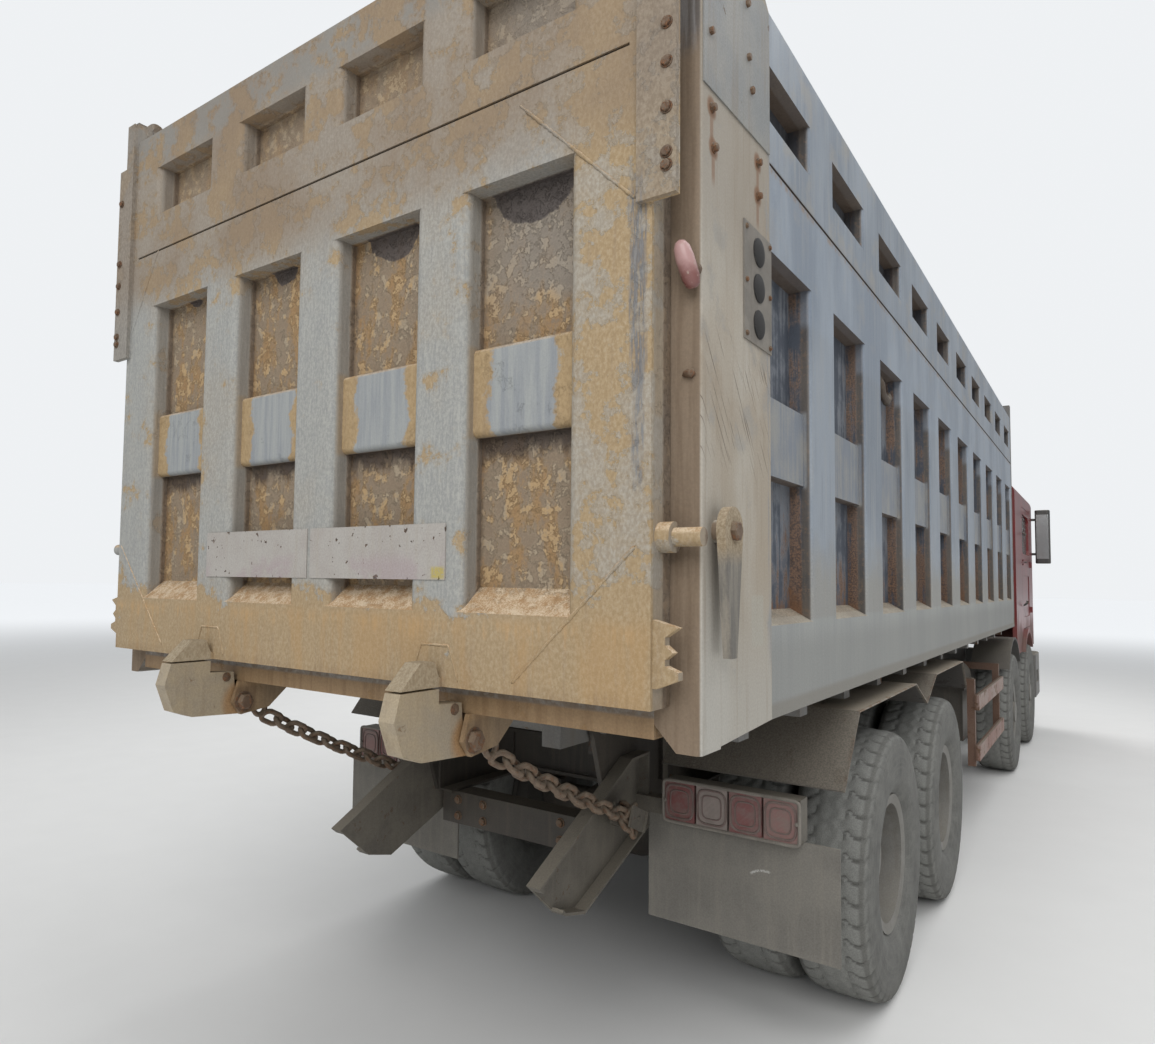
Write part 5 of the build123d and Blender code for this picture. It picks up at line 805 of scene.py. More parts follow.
    # painted shade: dark semicircles below the columns' upper edges, larger to the right and a little glossier, and a
    # painted shade line below each crosspiece
    size = y.step(0.9, -0.8, 0.28, 1.0)
    halfWide, halfTall = gate["shadeHalf"]
    across = (fromCentre + (patch - 0.5) * 0.05) / (halfWide * size)
    down = (gate["shadeTop"] - z + (patch - 0.5) * 0.05) / (halfTall * size)
    paintedShade = (across * across + down * down).step(1.05, 0.95) * sunk * z.step(2.45, 2.55)
    colour.lay(paintedShade * 0.92, streak.blend((0.072, 0.06, 0.058), (0.108, 0.092, 0.086)))
    # painted shade in a band below each crosspiece
    shadeLine = (z + (runs - 0.5) * 0.2).step(2.075, 2.13) * sunk * z.step(2.2, 2.16)
    colour.lay(shadeLine * 0.85, (0.06, 0.047, 0.042))
    # dark streak of bare paint down the right edge, and grime in the seam
    edge = (y + (streak - 0.5) * 0.09).between(*gate["bareEdge"], 0.01)
    edge = edge * (z + (patch - 0.5) * 0.6).between(*gate["bareHeights"], 0.06)
    edge = edge * face * (hair + patch * 0.6).step(0.7, 0.86, 0.25, 1.0)
    colour.lay(edge * 0.85, hair.step(0.4, 0.65).blend((0.085, 0.098, 0.122), (0.195, 0.2, 0.208)))
    seam = z.between(*gate["seam"], 0.004) * gateStep(x, "seamDepth")
    colour.lay(seam, (0.02, 0.016, 0.014))
    # ledges that face up hold an orange-white crust, the walls beside the panels are smooth brown-grey
    up = facing(xyz, 2).step(0.25, 0.6) * (1 - z.step(3.52, 3.56))
    crust = (lumps * 0.8 + fine * 0.4).step(0.48, 0.72).blend((0.41, 0.255, 0.13), (0.64, 0.51, 0.36))
    colour.lay(up * z.step(2.0, 1.8, 0.55, 1.0), crust)
    sideways = abs(facing(xyz, 1)).step(0.75, 0.95) * gateStep(x, "wall")
    smooth = streak.step(0.3, 0.7).blend((0.235, 0.208, 0.178), (0.3, 0.275, 0.24))
    colour.lay(sideways * 0.6, smooth)
    # fingers of orange silt run down from the ledges onto the bottom beam, which is darker at its foot
    silt = (z.step(*gate["ledge"]) * 0.2 + streak * 0.8 + (patch - 0.5) * 0.7).step(0.5, 0.72)
    silt = silt * z.between(1.49, 1.66, 0.02)
    colour.lay(silt * face * 0.7, (0.455, 0.295, 0.145))
    drip = xyz.noise(1.0, 4.0, 0.6, (9.0, 9.0, 1.4)).step(0.5, 0.64) * z.step(1.72, 1.62) * face
    colour.lay(drip * 0.4, (0.395, 0.245, 0.108))
    foot = z.step(1.52, 1.475) * (streak * 0.6 + patch * 0.5).step(0.46, 0.66)
    colour.lay(foot * 0.5, (0.235, 0.16, 0.092))
    # painted shade lies along the borders of the sunk panels
    borderShade = (fromCentre + (patch - 0.5) * 0.03).step(0.148, 0.168) * sunk
    colour.lay(borderShade * 0.55, (0.135, 0.085, 0.048))
    # catch plates are dusty like the hooks below them, the corner straps brown
    catch = gateStep(x, "catch") * z.step(1.565, 1.555)
    colour.lay(catch, mottle.step(0.38, 0.62).blend((0.305, 0.24, 0.158), (0.395, 0.325, 0.228)))
    strap = gateStep(x, "strap") * z.step(2.63, 2.65)
    colour.lay(strap * 0.6, mottled(mottle, (0.19, 0.16, 0.132), (0.268, 0.232, 0.192)))
    colour = colour.shade(fine.step(0.2, 0.8, 0.94, 1.06))
    relief = (fine * 0.12 + mottle * 0.25 - worn.step(0.57, 0.61) * 0.3 + hair * 0.1
              + sunk * (lumps * 1.5 - crack * 0.25) + up * lumps * 1.2)
    rough = (0.8 + fine * 0.1 - edge * 0.25 - paintedShade * 0.25).smaller(0.95)
    return endFinish(material, shader, colour, rough, relief, None, 0.004, gloss=0.3)


bedSide = {
    # distances ahead: front edge of the rear post, start of the ribbed part; sideways: the sunk panels' face
    "postEdge": (0.49, 0.482), "ribEdge": (0.488, 0.492), "panelDepth": (1.222, 1.212),
    # heights: crossbars, seam below the upper beam and the rust under it, foot of the ribs
    "crossbar": (2.075, 2.318), "seam": (2.962, 2.974), "bleed": (2.945, 2.962), "sill": (1.668, 1.652),
    # pale square low on the post: distances ahead, heights; heights between which the post is scratched
    "square": ((0.33, 0.42), (1.6, 1.735)), "scratches": (2.06, 2.38),
}


def makeSidePaint():
    # Smooth blue-grey paint on the ribs and beams, rust on the walls of the sunk panels, tan dust on the rear post.
    material, shader, xyz = startFinish("sidePaint")
    x, y, z = splitPlace(xyz)
    out = abs(y)
    broad = xyz.noise(1.7, 4.0, 0.6)
    patch = xyz.noise(5.5, 7.0, 0.66, shift=(1.1, 4.7, 2.4))
    fine = xyz.noise(160.0, 3.0, 0.65)
    streak = xyz.noise(1.0, 5.0, 0.62, (40.0, 40.0, 2.2))
    cloud = xyz.noise(1.0, 5.0, 0.6, (3.0, 3.0, 1.0), (2.0, 0.0, 7.0))
    post = x.step(*map(ahead, bedSide["postEdge"]))
    ribs = x.step(*map(ahead, bedSide["ribEdge"]))
    sunk = out.step(*bedSide["panelDepth"]) * ribs
    upper = z.step(2.7, 2.74)
    # ribs and beams
    paint = cloud.step(0.36, 0.64).blend((0.192, 0.22, 0.258), (0.275, 0.308, 0.35))
    paint.lay(streak.step(0.48, 0.7) * 0.5, (0.335, 0.335, 0.325))
    paint.lay(streak.step(0.46, 0.28) * 0.5, (0.128, 0.142, 0.162))
    dusty = (z.step(2.15, 1.66) * 0.8 + (patch - 0.5) * 0.9).step(0.25, 0.75)
    paint.lay(dusty * 0.75, fine.blend((0.262, 0.252, 0.222), (0.325, 0.308, 0.27)))
    paint.lay(upper * (patch + broad * 0.3).step(0.66, 0.8) * 0.5, (0.33, 0.3, 0.255))
    sillTone = (cloud * 0.7 + streak * 0.4).step(0.35, 0.75).blend((0.262, 0.272, 0.268), (0.335, 0.34, 0.325))
    paint.lay(z.step(*bedSide["sill"]) * 0.85, sillTone)
    paint.lay(z.step(1.655, 1.56) * z.step(1.3, 1.42) * 0.45, (0.205, 0.205, 0.192))
    paint.lay(z.step(1.445, 1.425) * 0.55, (0.19, 0.168, 0.135))
    # sunk panels and their walls: dark paint, rusty runs, more towards the bottom corners
    inner = (patch + (streak - 0.5) * 0.7).step(0.42, 0.6).blend((0.06, 0.07, 0.09), (0.165, 0.178, 0.2))
    rusty = patch * 0.6 + streak * 0.5 + z.step(2.08, 1.68) * 0.1 + abs(facing(xyz, 0)).step(0.4, 0.9) * 0.12
    rusty = rusty.step(0.61, 0.72)
    rustTone = mottled(fine, (0.075, 0.048, 0.034), (0.2, 0.108, 0.058))
    inner.lay(rusty * 0.85, rustTone)
    corner = (z.step(1.86, 1.66) * 0.25 + patch * 0.9 - 0.1).step(0.52, 0.62) * z.step(1.95, 1.85)
    corner = corner * x.step(ahead(1.2), ahead(0.6), 0.5, 1.0)
    inner.lay(corner * 0.8, (0.175, 0.082, 0.034))
    walls = abs(facing(xyz, 0)).step(0.5, 0.9) * out.step(1.246, 1.24) * x.step(ahead(0.482), ahead(0.488))
    speckle = xyz.noise(55.0, 5.0, 0.7).step(0.52, 0.62)
    wallTone = (patch * 0.6 + streak * 0.5).step(0.42, 0.62).blend((0.04, 0.036, 0.034), (0.085, 0.066, 0.05))
    wallTone.lay(speckle * 0.6, (0.15, 0.092, 0.052))
    paint.lay(walls * 0.9, wallTone)
    inner.lay(upper * 0.75, (0.026, 0.024, 0.026))
    bluer = cloud.step(0.4, 0.6).blend((0.215, 0.255, 0.315), (0.295, 0.34, 0.4))
    paint.lay(z.between(2.6, 2.96, 0.02) * 0.45, bluer)
    colour = sunk.blend(paint, inner)
    crossbar = z.between(*bedSide["crossbar"], 0.01) * out.between(1.205, 1.235, 0.004) * ribs
    barTone = (patch * 0.5 + streak * 0.5).step(0.4, 0.62).blend((0.175, 0.195, 0.228), (0.285, 0.275, 0.25))
    colour.lay(crossbar * 0.85, barTone)
    up = facing(xyz, 2).step(0.3, 0.7) * (1 - post) * z.step(3.3, 3.2)
    silt = (fine + patch).step(0.8, 1.2).blend((0.25, 0.205, 0.15), (0.365, 0.315, 0.24))
    colour.lay(up * (0.55 + fine * 0.5), silt)
    low = facing(xyz, 2).step(-0.5, -0.9) * (1 - post)
    colour.lay(low * 0.8, fine.blend((0.075, 0.048, 0.032), (0.15, 0.11, 0.078)))
    front = x.step(ahead(0.49), ahead(0.5))
    seam = z.between(*bedSide["seam"], 0.004) * front
    colour.lay(seam * 0.9, (0.06, 0.04, 0.026))
    # rust line that bleeds from the seam
    bleed = z.between(*bedSide["bleed"], 0.006) * streak.step(0.46, 0.6) * front
    colour.lay(bleed * 0.6, (0.255, 0.16, 0.085))
    # rear post: tan dust with grey cloudy areas, browner on its rear face, bare metal at its top
    tan = mottled(cloud, (0.35, 0.3, 0.236), (0.425, 0.392, 0.338))
    tan.lay(z.step(1.85, 1.45) * 0.6, (0.415, 0.405, 0.372))
    tan.lay(z.step(2.4, 2.75) * 0.45, (0.215, 0.18, 0.142))
    tan.lay(streak.step(0.5, 0.74) * 0.38, (0.225, 0.172, 0.118))
    brown = (broad + (patch - 0.5) * 0.4).step(0.5, 0.68) * z.step(2.0, 2.3)
    tan.lay(brown * 0.45, (0.25, 0.185, 0.12))
    tan.lay((patch + (broad - 0.5) * 0.5).step(0.58, 0.66) * 0.45, (0.275, 0.275, 0.262))
    rearFace = facing(xyz, 0).step(-0.5, -0.8)
    back = streak.step(0.38, 0.62).blend((0.172, 0.124, 0.083), (0.215, 0.16, 0.111))
    bare = (z + (patch - 0.5) * 0.5).step(3.0, 3.18)
    back.lay(bare, streak.step(0.4, 0.62).blend((0.092, 0.078, 0.068), (0.215, 0.205, 0.2)))
    tan.lay(rearFace, back)
    slanted = xyz.node("ShaderNodeCombineXYZ", {}, _0=x * 2.6 - z * 3.4, _1=x * 110.0 + z * 84.0, _2=0.0)
    hairline = slanted.node("ShaderNodeTexNoise", {}, Vector=slanted, Scale=1.0, Detail=2.0, Roughness=0.5)
    scratch = hairline.step(0.625, 0.665) * z.between(*bedSide["scratches"], 0.05) * (1 - rearFace)
    scratch = scratch * broad.step(0.35, 0.5)
    tan.lay(scratch * 0.75, (0.12, 0.092, 0.068))
    bareCorner = (streak + patch * 0.4).step(0.66, 0.8) * z.step(1.5, 1.6)
    bareCorner = bareCorner * x.between(ahead(0.455), ahead(0.488), 0.006)
    tan.lay(bareCorner * 0.5, (0.235, 0.25, 0.268))
    (rear, front), heights = bedSide["square"]
    square = x.between(ahead(rear), ahead(front), 0.006) * z.between(*heights, 0.006)
    tan.lay(square * 0.6, fine.blend((0.33, 0.315, 0.27), (0.425, 0.405, 0.35)))
    # rust haloes and short runs below the post's bolts
    for boltX, boltZ in fixing["postBolts"]:
        reach, below = abs(x - ahead(boltX)), boltZ - z
        halo = ((reach * reach + below * below) * 900).step(1.0, 0.3)
        run = (reach + (streak - 0.5) * 0.012).step(0.014, 0.006) * below.between(0.0, 0.085, 0.02)
        tan.lay((halo * 0.8).larger(run * 0.6) * (1 - rearFace), (0.2, 0.095, 0.042))
    lever = out.step(1.262, 1.267) * (1 - x.step(ahead(-0.02), ahead(-0.03)) * z.step(3.4, 3.45))
    leverTone = z.step(1.86, 1.8).blend(mottled(fine, (0.27, 0.205, 0.128), (0.35, 0.285, 0.2)),
                                         mottled(streak, (0.15, 0.14, 0.125), (0.262, 0.235, 0.195)))
    tan.lay(lever, leverTone)
    colour.lay(post, tan)
    # the load has rubbed the inner faces
    inward = (facing(xyz, 1) * y).step(-0.2, -0.8)
    drag = xyz.noise(1.0, 5.0, 0.6, (2.5, 40.0, 40.0))
    worn = (drag * 0.7 + broad * 0.4).step(0.45, 0.7).blend((0.135, 0.102, 0.072), (0.25, 0.236, 0.212))
    colour.lay(inward * 0.92, worn)
    colour = colour.shade(fine.step(0.2, 0.8, 0.9, 1.09))
    relief = fine * 0.22 + streak * 0.25 + rusty * sunk * 0.5 - scratch * 0.6 + patch * 0.25
    rough = (0.4 + dusty * 0.28 + post * 0.36 + sunk * 0.3 + fine * 0.1).smaller(0.92)
    return endFinish(material, shader, colour, rough, relief, None, 0.0016, gloss=0.5)


lookColumns = ("paint", "shade", "run", "dust", "dustUp", "dustAll", "rustEdge")
looks = {  # one row per finish, in the order of lookColumns, and what differs from usualLook
    "bedSteel": ((0.105, 0.112, 0.122), (0.165, 0.165, 0.162), (0.13, 0.098, 0.07), (0.235, 0.2, 0.15),
        0.8, 0.22, 0.56, {}),
    "hookSteel": ((0.345, 0.275, 0.18), (0.265, 0.225, 0.172), (0.2, 0.14, 0.085), (0.43, 0.355, 0.25),
        0.7, 0.3, 0.62, {"broad": 7.0, "patch": 14.0, "rust": (0.3, 0.16, 0.06), "rustDark": (0.17, 0.09, 0.04),
        "depth": 0.003}),
    "chainRust": ((0.105, 0.066, 0.042), (0.18, 0.122, 0.08), (0.075, 0.05, 0.038), (0.27, 0.225, 0.17),
        0.6, 0.18, 0.52, {"broad": 16.0, "patch": 40.0, "rust": (0.195, 0.095, 0.045),
        "rustDark": (0.08, 0.04, 0.024), "grain": 400.0}),
    "boltRust": ((0.095, 0.052, 0.03), (0.15, 0.098, 0.062), (0.06, 0.035, 0.022), (0.24, 0.19, 0.135),
        0.5, 0.15, 0.5, {"broad": 20.0, "patch": 60.0, "rust": (0.245, 0.1, 0.035),
        "rustDark": (0.06, 0.028, 0.018), "grain": 500.0}),
    "chassisBlack": ((0.03, 0.026, 0.023), (0.05, 0.043, 0.036), (0.085, 0.068, 0.05), (0.15, 0.132, 0.105),
        0.75, 0.16, 0.63, {"rust": (0.11, 0.052, 0.026), "rustDark": (0.045, 0.024, 0.015)}),
    "armSteel": ((0.072, 0.066, 0.057), (0.115, 0.104, 0.086), (0.16, 0.14, 0.11), (0.215, 0.192, 0.155),
        0.75, 0.32, 0.6, {"broad": 6.0, "patch": 14.0, "rust": (0.12, 0.068, 0.038),
        "rustDark": (0.055, 0.035, 0.024)}),
    "springSteel": ((0.06, 0.042, 0.03), (0.085, 0.062, 0.045), (0.12, 0.088, 0.06), (0.16, 0.135, 0.105),
        0.7, 0.2, 0.55, {}),
    "flapRubber": ((0.18, 0.17, 0.152), (0.14, 0.133, 0.122), (0.215, 0.2, 0.172), (0.26, 0.24, 0.2),
        0.5, 0.2, 0.8, {"broad": 5.0, "rough": 0.75, "gloss": 0.2}),
    "guardSheet": ((0.255, 0.222, 0.178), (0.18, 0.162, 0.132), (0.15, 0.11, 0.075), (0.305, 0.265, 0.208),
        0.6, 0.25, 0.57, {"broad": 4.5, "patch": 11.0, "rust": (0.165, 0.085, 0.042),
        "rustDark": (0.085, 0.048, 0.028), "runShare": 0.6}),
    "plasticBlack": ((0.04, 0.04, 0.042), (0.058, 0.056, 0.054), (0.095, 0.085, 0.072), (0.175, 0.155, 0.125),
        0.5, 0.1, 0.9, {"rough": 0.55}),
    "cabRed": ((0.18, 0.012, 0.014), (0.13, 0.011, 0.014), (0.13, 0.045, 0.042), (0.215, 0.15, 0.128),
        0.3, 0.08, 0.72, {"rough": 0.28, "gloss": 0.5, "runShare": 0.45, "relief": 0.08, "fleck": 0.05,
        "depth": 0.0008}),
    "bumperGrey": ((0.15, 0.15, 0.15), (0.19, 0.186, 0.176), (0.12, 0.11, 0.095), (0.26, 0.235, 0.195),
        0.6, 0.2, 0.68, {"rough": 0.5}),
    "cabCloth": ((0.072, 0.072, 0.078), (0.1, 0.098, 0.096), (0.06, 0.06, 0.064), (0.16, 0.145, 0.12),
        0.3, 0.08, 0.95, {"rough": 0.85, "grain": 500.0, "relief": 0.8, "gloss": 0.2}),
    "tankMetal": ((0.33, 0.335, 0.34), (0.255, 0.258, 0.262), (0.225, 0.195, 0.155), (0.24, 0.212, 0.17),
        0.7, 0.3, 0.74, {"rough": 0.35}),
    "batteryBox": ((0.045, 0.043, 0.041), (0.072, 0.066, 0.058), (0.12, 0.1, 0.075), (0.19, 0.165, 0.13),
        0.75, 0.25, 0.62, {}),
    "guardRail": ((0.255, 0.125, 0.1), (0.33, 0.245, 0.215), (0.165, 0.09, 0.06), (0.24, 0.205, 0.165),
        0.6, 0.2, 0.56, {"patch": 12.0}),
    "tubePaint": ((0.18, 0.175, 0.165), (0.12, 0.115, 0.108), (0.09, 0.07, 0.052), (0.225, 0.195, 0.155),
        0.6, 0.2, 0.66, {}),
    "engineIron": ((0.06, 0.056, 0.052), (0.095, 0.084, 0.07), (0.11, 0.08, 0.055), (0.16, 0.14, 0.11),
        0.7, 0.2, 0.58, {}),
    "rimSteel": ((0.2, 0.196, 0.184), (0.158, 0.152, 0.138), (0.125, 0.11, 0.09), (0.215, 0.2, 0.172),
        0.4, 0.3, 0.68, {"broad": 7.0, "patch": 26.0, "rust": (0.32, 0.315, 0.295),
        "rustDark": (0.215, 0.205, 0.185)}),
    "patchPaint": ((0.2, 0.212, 0.218), (0.255, 0.252, 0.24), (0.18, 0.14, 0.105), (0.29, 0.268, 0.228),
        0.5, 0.2, 0.62, {"broad": 5.0, "patch": 12.0, "rough": 0.5}),
    "paleFrame": ((0.15, 0.136, 0.118), (0.205, 0.185, 0.16), (0.1, 0.082, 0.066), (0.26, 0.235, 0.2),
        0.6, 0.2, 0.66, {"broad": 14.0, "patch": 40.0, "grain": 400.0}),
    "lensRing": ((0.15, 0.105, 0.095), (0.118, 0.068, 0.062), (0.19, 0.155, 0.135), (0.235, 0.2, 0.172),
        0.5, 0.2, 0.8, {"broad": 20.0, "grain": 500.0, "rough": 0.4}),
    "amberLens": ((0.42, 0.165, 0.03), (0.33, 0.115, 0.022), (0.3, 0.19, 0.11), (0.33, 0.265, 0.19),
        0.4, 0.12, 0.9, {"rough": 0.3}),
    "mirrorSilver": ((0.42, 0.43, 0.435), (0.34, 0.35, 0.355), (0.26, 0.245, 0.22), (0.26, 0.245, 0.215),
        0.5, 0.16, 0.9, {"rough": 0.12, "metal": 0.6, "relief": 0.05, "depth": 0.0004}),
    "plateSteel": ((0.372, 0.35, 0.325), (0.34, 0.312, 0.29), (0.335, 0.3, 0.255), (0.42, 0.385, 0.33),
        0.5, 0.15, 0.8, {"broad": 9.0, "rough": 0.55, "depth": 0.001}),
}


def fromAxle(x, z):  # distance from the nearest wheel's axle line
    along = nearest(x, [ahead(place) for row in wheelKinds for place in row[2]])
    height = z - tyre["axleHeight"]
    return (along * along + height * height).root()


def makeTyreRubber():
    # Grey-brown dust lies thick on the tread and thins out on the wall, and rings of scuffs follow the wheel.
    material, shader, xyz = startFinish("tyreRubber")
    x, _, z = splitPlace(xyz)
    radius = fromAxle(x, z)
    broad, fine = xyz.noise(5.0, 5.0, 0.62), xyz.noise(220.0, 3.0, 0.6)
    patch = xyz.noise(17.0, 6.0, 0.66, shift=(2.0, 5.0, 1.0))
    ring = radius.node("ShaderNodeTexNoise", {"noise_dimensions": "1D"}, W=radius * 60.0, Scale=1.0, Detail=3.0)
    crown = radius.step(*tyre["crown"])
    rubber = broad.blend((0.078, 0.078, 0.074), (0.118, 0.115, 0.106))
    rubber.lay(ring.step(0.45, 0.65) * 0.4, (0.15, 0.145, 0.13))
    dust = (patch * 0.7 + broad * 0.5 + crown * 0.16 - 0.1).step(0.22, 0.78) * 0.85
    colour = dust.blend(rubber, fine.step(0.3, 0.7).blend((0.17, 0.17, 0.158), (0.24, 0.238, 0.22)))
    colour.lay(crown * 0.45, fine.step(0.3, 0.7).blend((0.225, 0.228, 0.212), (0.315, 0.318, 0.298)))
    pale = (fine * 0.4 + patch * 0.6).step(0.6, 0.7) * crown
    colour.lay(pale * 0.5, (0.27, 0.265, 0.24))
    # painted shade darkens the floors of the tread grooves
    grooveShade = radius.step(*tyre["grooveFloor"]) * abs(facing(xyz, 1)).step(0.85, 0.6)
    colour.lay(grooveShade * radius.step(0.53, 0.545) * 0.45, (0.05, 0.046, 0.04))
    # painted shade in patches near the ground
    paintedShade = z.step(0.16, 0.02) * 0.35
    colour.lay(paintedShade * patch.step(0.4, 0.6), (0.072, 0.066, 0.056))
    relief = fine * 0.35 + patch * 0.35 + ring * 0.25
    return endFinish(material, shader, colour, 0.72 + dust * 0.2, relief, None, 0.0018, gloss=0.25)


def makeLampLens():
    # Four lenses stand side by side behind each tail lamp: red, pale, red, pink, with ribbed rings and dust.
    material, shader, xyz = startFinish("lampLens")
    x, y, _ = splitPlace(xyz)
    out = abs(y)
    fine, patch = xyz.noise(240.0, 3.0, 0.6), xyz.noise(22.0, 6.0, 0.66)
    red, pale, pink = (0.185, 0.062, 0.058), (0.26, 0.212, 0.19), (0.225, 0.115, 0.102)
    pitch = (rearLamp["outer"] - rearLamp["inner"]) / rearLamp["count"]
    colour = red
    for number, tone in enumerate((pale, red, pink), 1):
        edge, soft = rearLamp["inner"] + number * pitch, 0.0005
        colour = out.step(edge - soft, edge + soft).blend(colour, tone)
    colour.lay(patch.step(0.4, 0.62) * 0.5, fine.blend((0.15, 0.122, 0.105), (0.23, 0.198, 0.172)))
    colour.lay(x.step(ahead(9.0), ahead(9.1)), (0.62, 0.64, 0.66))  # headlamps
    prism = xyz.node("ShaderNodeTexWave", {"wave_type": "BANDS", "bands_direction": "Z"}, 1, Vector=xyz, Scale=70.0)
    shader.inputs["Coat Weight"].default_value = 0.3
    shader.inputs["Coat Roughness"].default_value = 0.25
    return endFinish(material, shader, colour, 0.32 + patch * 0.4, fine * 0.3 + prism * 0.5, None, 0.0012)


def makeGlass():
    material, shader, xyz = startFinish("cabGlass")
    broad, fine = xyz.noise(6.0, 6.0, 0.65), xyz.noise(180.0, 3.0, 0.6)
    runs = xyz.noise(1.0, 4.0, 0.6, (30.0, 30.0, 2.0))
    film = (broad * 0.6 + runs * 0.5 + fine * 0.2).step(0.45, 0.95)
    colour = film.blend((0.03, 0.036, 0.04), (0.16, 0.155, 0.14))
    material.node_tree.links.new((0.55 + film * 0.4).socket, shader.inputs["Alpha"])
    return endFinish(material, shader, colour, 0.06 + film * 0.45, gloss=0.8)


def makeChrome():
    # Hard chromed tube, with thin turned lines and smears of oily dust.
    material, shader, xyz = startFinish("hoistChrome")
    fine = xyz.noise(1.0, 3.0, 0.6, (40.0, 40.0, 900.0))
    smear = xyz.noise(1.0, 5.0, 0.6, (16.0, 16.0, 3.0)).step(0.5, 0.66)
    colour = (smear * 0.7).blend(fine.blend((0.5, 0.5, 0.5), (0.6, 0.6, 0.59)), (0.13, 0.112, 0.088))
    rough, relief = 0.22 + smear * 0.45, fine * 0.4 + smear * 0.3
    return endFinish(material, shader, colour, rough, relief, 0.9 - smear * 0.8, 0.0006)


def makeMarkerLens():
    # Pale pink plastic, redder and dirtier towards its lower end.
    material, shader, xyz = startFinish("markerLens")
    z = splitPlace(xyz)[2]
    patch, fine = xyz.noise(60.0, 5.0, 0.65), xyz.noise(300.0, 3.0, 0.6)
    base = (z + (patch - 0.5) * 0.03).step(2.475, 2.515).blend((0.19, 0.075, 0.066), (0.4, 0.235, 0.222))
    colour = patch.step(0.56, 0.7).blend(base, (0.36, 0.29, 0.24))
    shader.inputs["Coat Weight"].default_value = 0.3
    return endFinish(material, shader, colour, 0.35 + patch * 0.3, fine * 0.3, None, 0.0008)


def makeDiscMesh():
    # Dark sheet pressed with two crossing rows of small holes.
    material, shader, xyz = startFinish("discMesh")
    x, _, z = splitPlace(xyz)
    fine = xyz.noise(300.0, 3.0, 0.6)
    hole = abs(((x + z) * 420.0).sine() * ((x - z) * 420.0).sine()).step(0.1, 0.45)
    colour = hole.blend(fine.blend((0.036, 0.033, 0.031), (0.07, 0.064, 0.058)), (0.006, 0.006, 0.007))
    return endFinish(material, shader, colour, 0.75, fine * 0.2 - hole, None, 0.0015)


def plateMarks(xyz, x, y, z, colour, broad, fine, runs):
    # Blank plates whose pale paint has chipped along the edges, with rust specks and a yellow spot.
    edge = (nearest(z, (fixing["plateLow"], fixing["plateHigh"])) / 0.05).smaller(1.0)
    speck = xyz.noise(52.0, 2.0, 0.5) + (1 - edge) * 0.06 + (xyz.noise(6.0, 2.0) - 0.5) * 0.25
    speck = speck.step(0.725, 0.745)
    colour.lay(speck, fine.step(0.4, 0.6).blend((0.055, 0.047, 0.042), (0.135, 0.085, 0.055)))
    pink = (xyz.noise(7.0, 4.0, shift=(1.0, 2.0, 3.0)) - y * 0.06).step(0.5, 0.62) * z.step(1.86, 1.8)
    colour.lay(pink * 0.5, (0.33, 0.255, 0.27))
    spotY, spotZ = fixing["spot"]
    spot = y.between(*spotY, 0.006) * z.between(*spotZ, 0.006) * fine.step(0.3, 0.5)
    colour.lay(spot * 0.8, (0.42, 0.33, 0.055))
    return speck * 0.3, speck * -0.9


flap = {
    "scrapeY": -0.965, "scrapeZ": 0.64, "scrapeRadius": 0.072, "scrapeHalf": (0.0065, 0.002),
    "rearFace": (1.2465, 1.2455), "edges": (0.44, 0.845),  # ahead; heights of foot and top
}


def flapMarks(xyz, x, y, z, colour, broad, fine, runs):
    # Dusty rubber with the pale curved scrape that something left on the right flap.
    aside, up = y - flap["scrapeY"], z - flap["scrapeZ"]
    radius = (aside * aside + up * up).root()
    arc = abs(radius - flap["scrapeRadius"] + (broad - 0.5) * 0.02).step(*flap["scrapeHalf"])
    arc = arc * (up - aside * 0.8).step(0.008, 0.024) * aside.step(-0.028, -0.012)
    arc = arc * x.step(*map(ahead, flap["rearFace"]))
    colour.lay(arc * fine.step(0.35, 0.5), (0.42, 0.41, 0.385))
    rim = (1 - (nearest(z, flap["edges"]) / 0.02).smaller(1.0)) * 0.35
    colour.lay(rim * runs, (0.245, 0.23, 0.2))


def mudguardMarks(xyz, x, y, z, colour, broad, fine, runs):
    # Tan dust with rust that runs down from the fold of the valance, painted shade on the faces that look back, and
    # near-black painted shade on the inner faces that look down.
    outer = abs(y).step(1.235, 1.245)
    run = (runs + broad * 0.3).step(0.6, 0.74) * outer
    colour.lay(run * 0.75, fine.blend((0.13, 0.075, 0.042), (0.215, 0.128, 0.07)))
    # painted shade on the faces that look back
    rear = facing(xyz, 0).step(-0.15, -0.45)
    colour.lay(rear * 0.75, mottled(fine, (0.068, 0.06, 0.05), (0.112, 0.099, 0.082)))
    # near-black painted shade on the inner faces that look down
    inner = (1 - outer) * facing(xyz, 2).step(0.2, -0.2)
    colour.lay(inner * 0.9, (0.034, 0.03, 0.027))


def cabMarks(xyz, x, y, z, colour, broad, fine, runs):
    # Red paint with pink chalky runs, dirtier towards the skirt.
    low = (z.step(1.75, 1.05) * 0.9 + (broad - 0.5) * 1.2).step(0.25, 0.95)
    colour.lay(low * 0.6, fine.blend((0.105, 0.07, 0.056), (0.165, 0.122, 0.098)))
    inX, inY, inZ = cabTrim["inside"]
    inside = abs(y).step(*inY) * x.between(*map(ahead, inX), 0.01) * z.between(*inZ, 0.01)
    colour.lay(inside * 0.85, (0.085, 0.082, 0.08))
    return low * 0.35, 0.0


def sideGuardMarks(xyz, x, y, z, colour, broad, fine, runs):
    # Reddish rails with chalky wear on top, rusty-brown posts and hangers.
    post = abs(y).step(1.192, 1.186)
    colour.lay(post * 0.85, fine.blend((0.085, 0.045, 0.028), (0.15, 0.085, 0.052)))


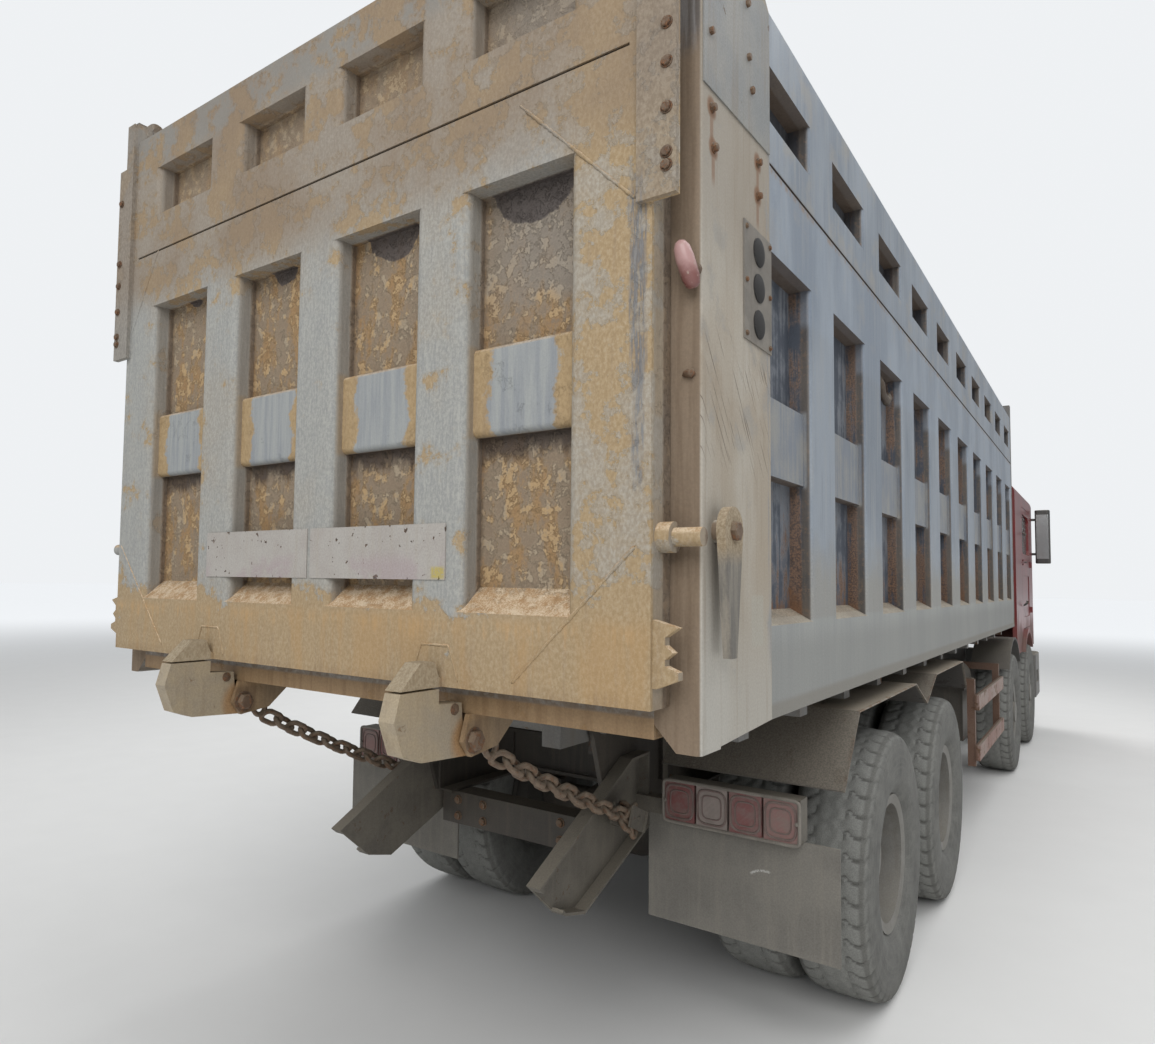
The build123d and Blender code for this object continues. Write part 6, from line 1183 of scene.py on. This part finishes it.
def rimMarks(xyz, x, y, z, colour, broad, fine, runs):
    # Dusty grey paint, small white chips and dark grime round the nuts.
    dark = (fromAxle(x, z) + (broad - 0.5) * 0.05).between(*wheelNuts["grime"], 0.02)
    colour.lay(dark * 0.55, (0.052, 0.045, 0.038))
    # painted shade: the inner rims between the twin tyres are darkened
    inner = abs(y).step(0.9, 0.86)
    colour.lay(inner * 0.7, (0.055, 0.05, 0.044))


def hookMarks(xyz, x, y, z, colour, broad, fine, runs):
    # Ochre-grey dust, with wet rust round the pins.
    pivotX, pivotZ = hookFixing["pivot"]
    gapX, gapZ = x - ahead(pivotX), z - pivotZ
    near = (gapX * gapX + gapZ * gapZ + (broad - 0.5) * 0.004).step(0.0075, 0.0025)
    colour.lay(near * 0.8, fine.blend((0.235, 0.115, 0.042), (0.4, 0.235, 0.1)))


def floorMarks(xyz, x, y, z, colour, broad, fine, runs):
    # The load has rubbed the floor and the headboard's inner face to bare grey steel with brown smears.
    inside = abs(y).step(1.165, 1.15) * z.step(1.44, 1.4495) * x.step(ahead(7.43), ahead(7.415))
    drag = xyz.noise(1.0, 5.0, 0.6, (2.5, 40.0, 40.0))
    worn = (drag * 0.7 + broad * 0.4).step(0.45, 0.7).blend((0.165, 0.12, 0.08), (0.265, 0.25, 0.225))
    colour.lay(inside * 0.85, worn)
    edge = x.step(ahead(0.13), ahead(0.06)) * (1 - inside)
    ochre = runs.step(0.4, 0.7).blend((0.3, 0.198, 0.104), (0.232, 0.144, 0.072))
    colour.lay(edge * 0.95, ochre)
    ear = z.step(1.385, 1.365) * x.step(ahead(0.42), ahead(0.32))
    brown = (broad * 0.6 + runs * 0.5).step(0.4, 0.7).blend((0.265, 0.185, 0.105), (0.155, 0.098, 0.055))
    colour.lay(ear * 0.9, brown)


marks = {  # what is drawn over the usual weathering
    "plateSteel": plateMarks, "flapRubber": flapMarks, "guardSheet": mudguardMarks, "cabRed": cabMarks,
    "guardRail": sideGuardMarks, "rimSteel": rimMarks, "hookSteel": hookMarks, "bedSteel": floorMarks,
}


def makeFinishes():
    return {
        "gatePaint": makeGatePaint(), "sidePaint": makeSidePaint(), "tyreRubber": makeTyreRubber(),
        "lampLens": makeLampLens(), "cabGlass": makeGlass(), "hoistChrome": makeChrome(),
        "markerLens": makeMarkerLens(), "discMesh": makeDiscMesh(),
        **{name: weathered(name) for name in looks},
    }


dressing = {  # finish of each kept node
    "gatePaint": ("tailgate",), "sidePaint": ("bed_left_side", "bed_right_side"),
    "bedSteel": ("bed_floor", "bed_headboard"), "hookSteel": ("lower_hooks",), "armSteel": ("underrun_arms",),
    "chassisBlack": ("frame_rails", "cross_members", "front_axles", "rear_axles", "knuckle_1_left", "knuckle_1_right",
                     "knuckle_2_left", "knuckle_2_right"),
    "springSteel": ("leaf_springs",), "flapRubber": ("mud_flaps",), "guardSheet": ("rear_mudguards",),
    "plasticBlack": ("front_mudguards", "cab_front_panel", "sun_visor", "mirrors"), "bumperGrey": ("front_bumper",),
    "lampLens": ("lamps",), "cabRed": ("cab_shell", "left_door", "right_door"), "cabCloth": ("cab_interior",),
    "cabGlass": ("cab_glass", "left_door_glass", "right_door_glass"), "tankMetal": ("fuel_tank",),
    "batteryBox": ("batteries_and_air_tanks",), "guardRail": ("side_guards",), "engineIron": ("engine_block",),
    "tubePaint": ("hoist_tube",), "hoistChrome": ("hoist_stage_1", "hoist_stage_2", "hoist_stage_3", "hoist_stage_4"),
    "rimSteel": tuple(f"{kind}_{axle}_{side}" for kind in ("front_rim", "rear_rims") for axle in (1, 2)
                      for side in ("left", "right")),
}


def dressNodes():
    for finish, names in dressing.items():
        for name in names:
            slots = nodes[name].data.materials
            slots.clear()
            slots.append(finishes[finish])


makeCamera()
makeStudio()
print("stage: camera and studio")
finishes = makeFinishes()
dressNodes()
print("stage: finishes")
makeTyres()
makeWheelNuts()
print("stage: wheels")
makeChains()
makeHookFittings()
makeBedFittings()
makePostFittings()
print("stage: bed fittings and chains")
makeLampFrames()
makeFrameBolts()
print("stage: lamps and frame")
makeCabTrim()
print("stage: cab trim")
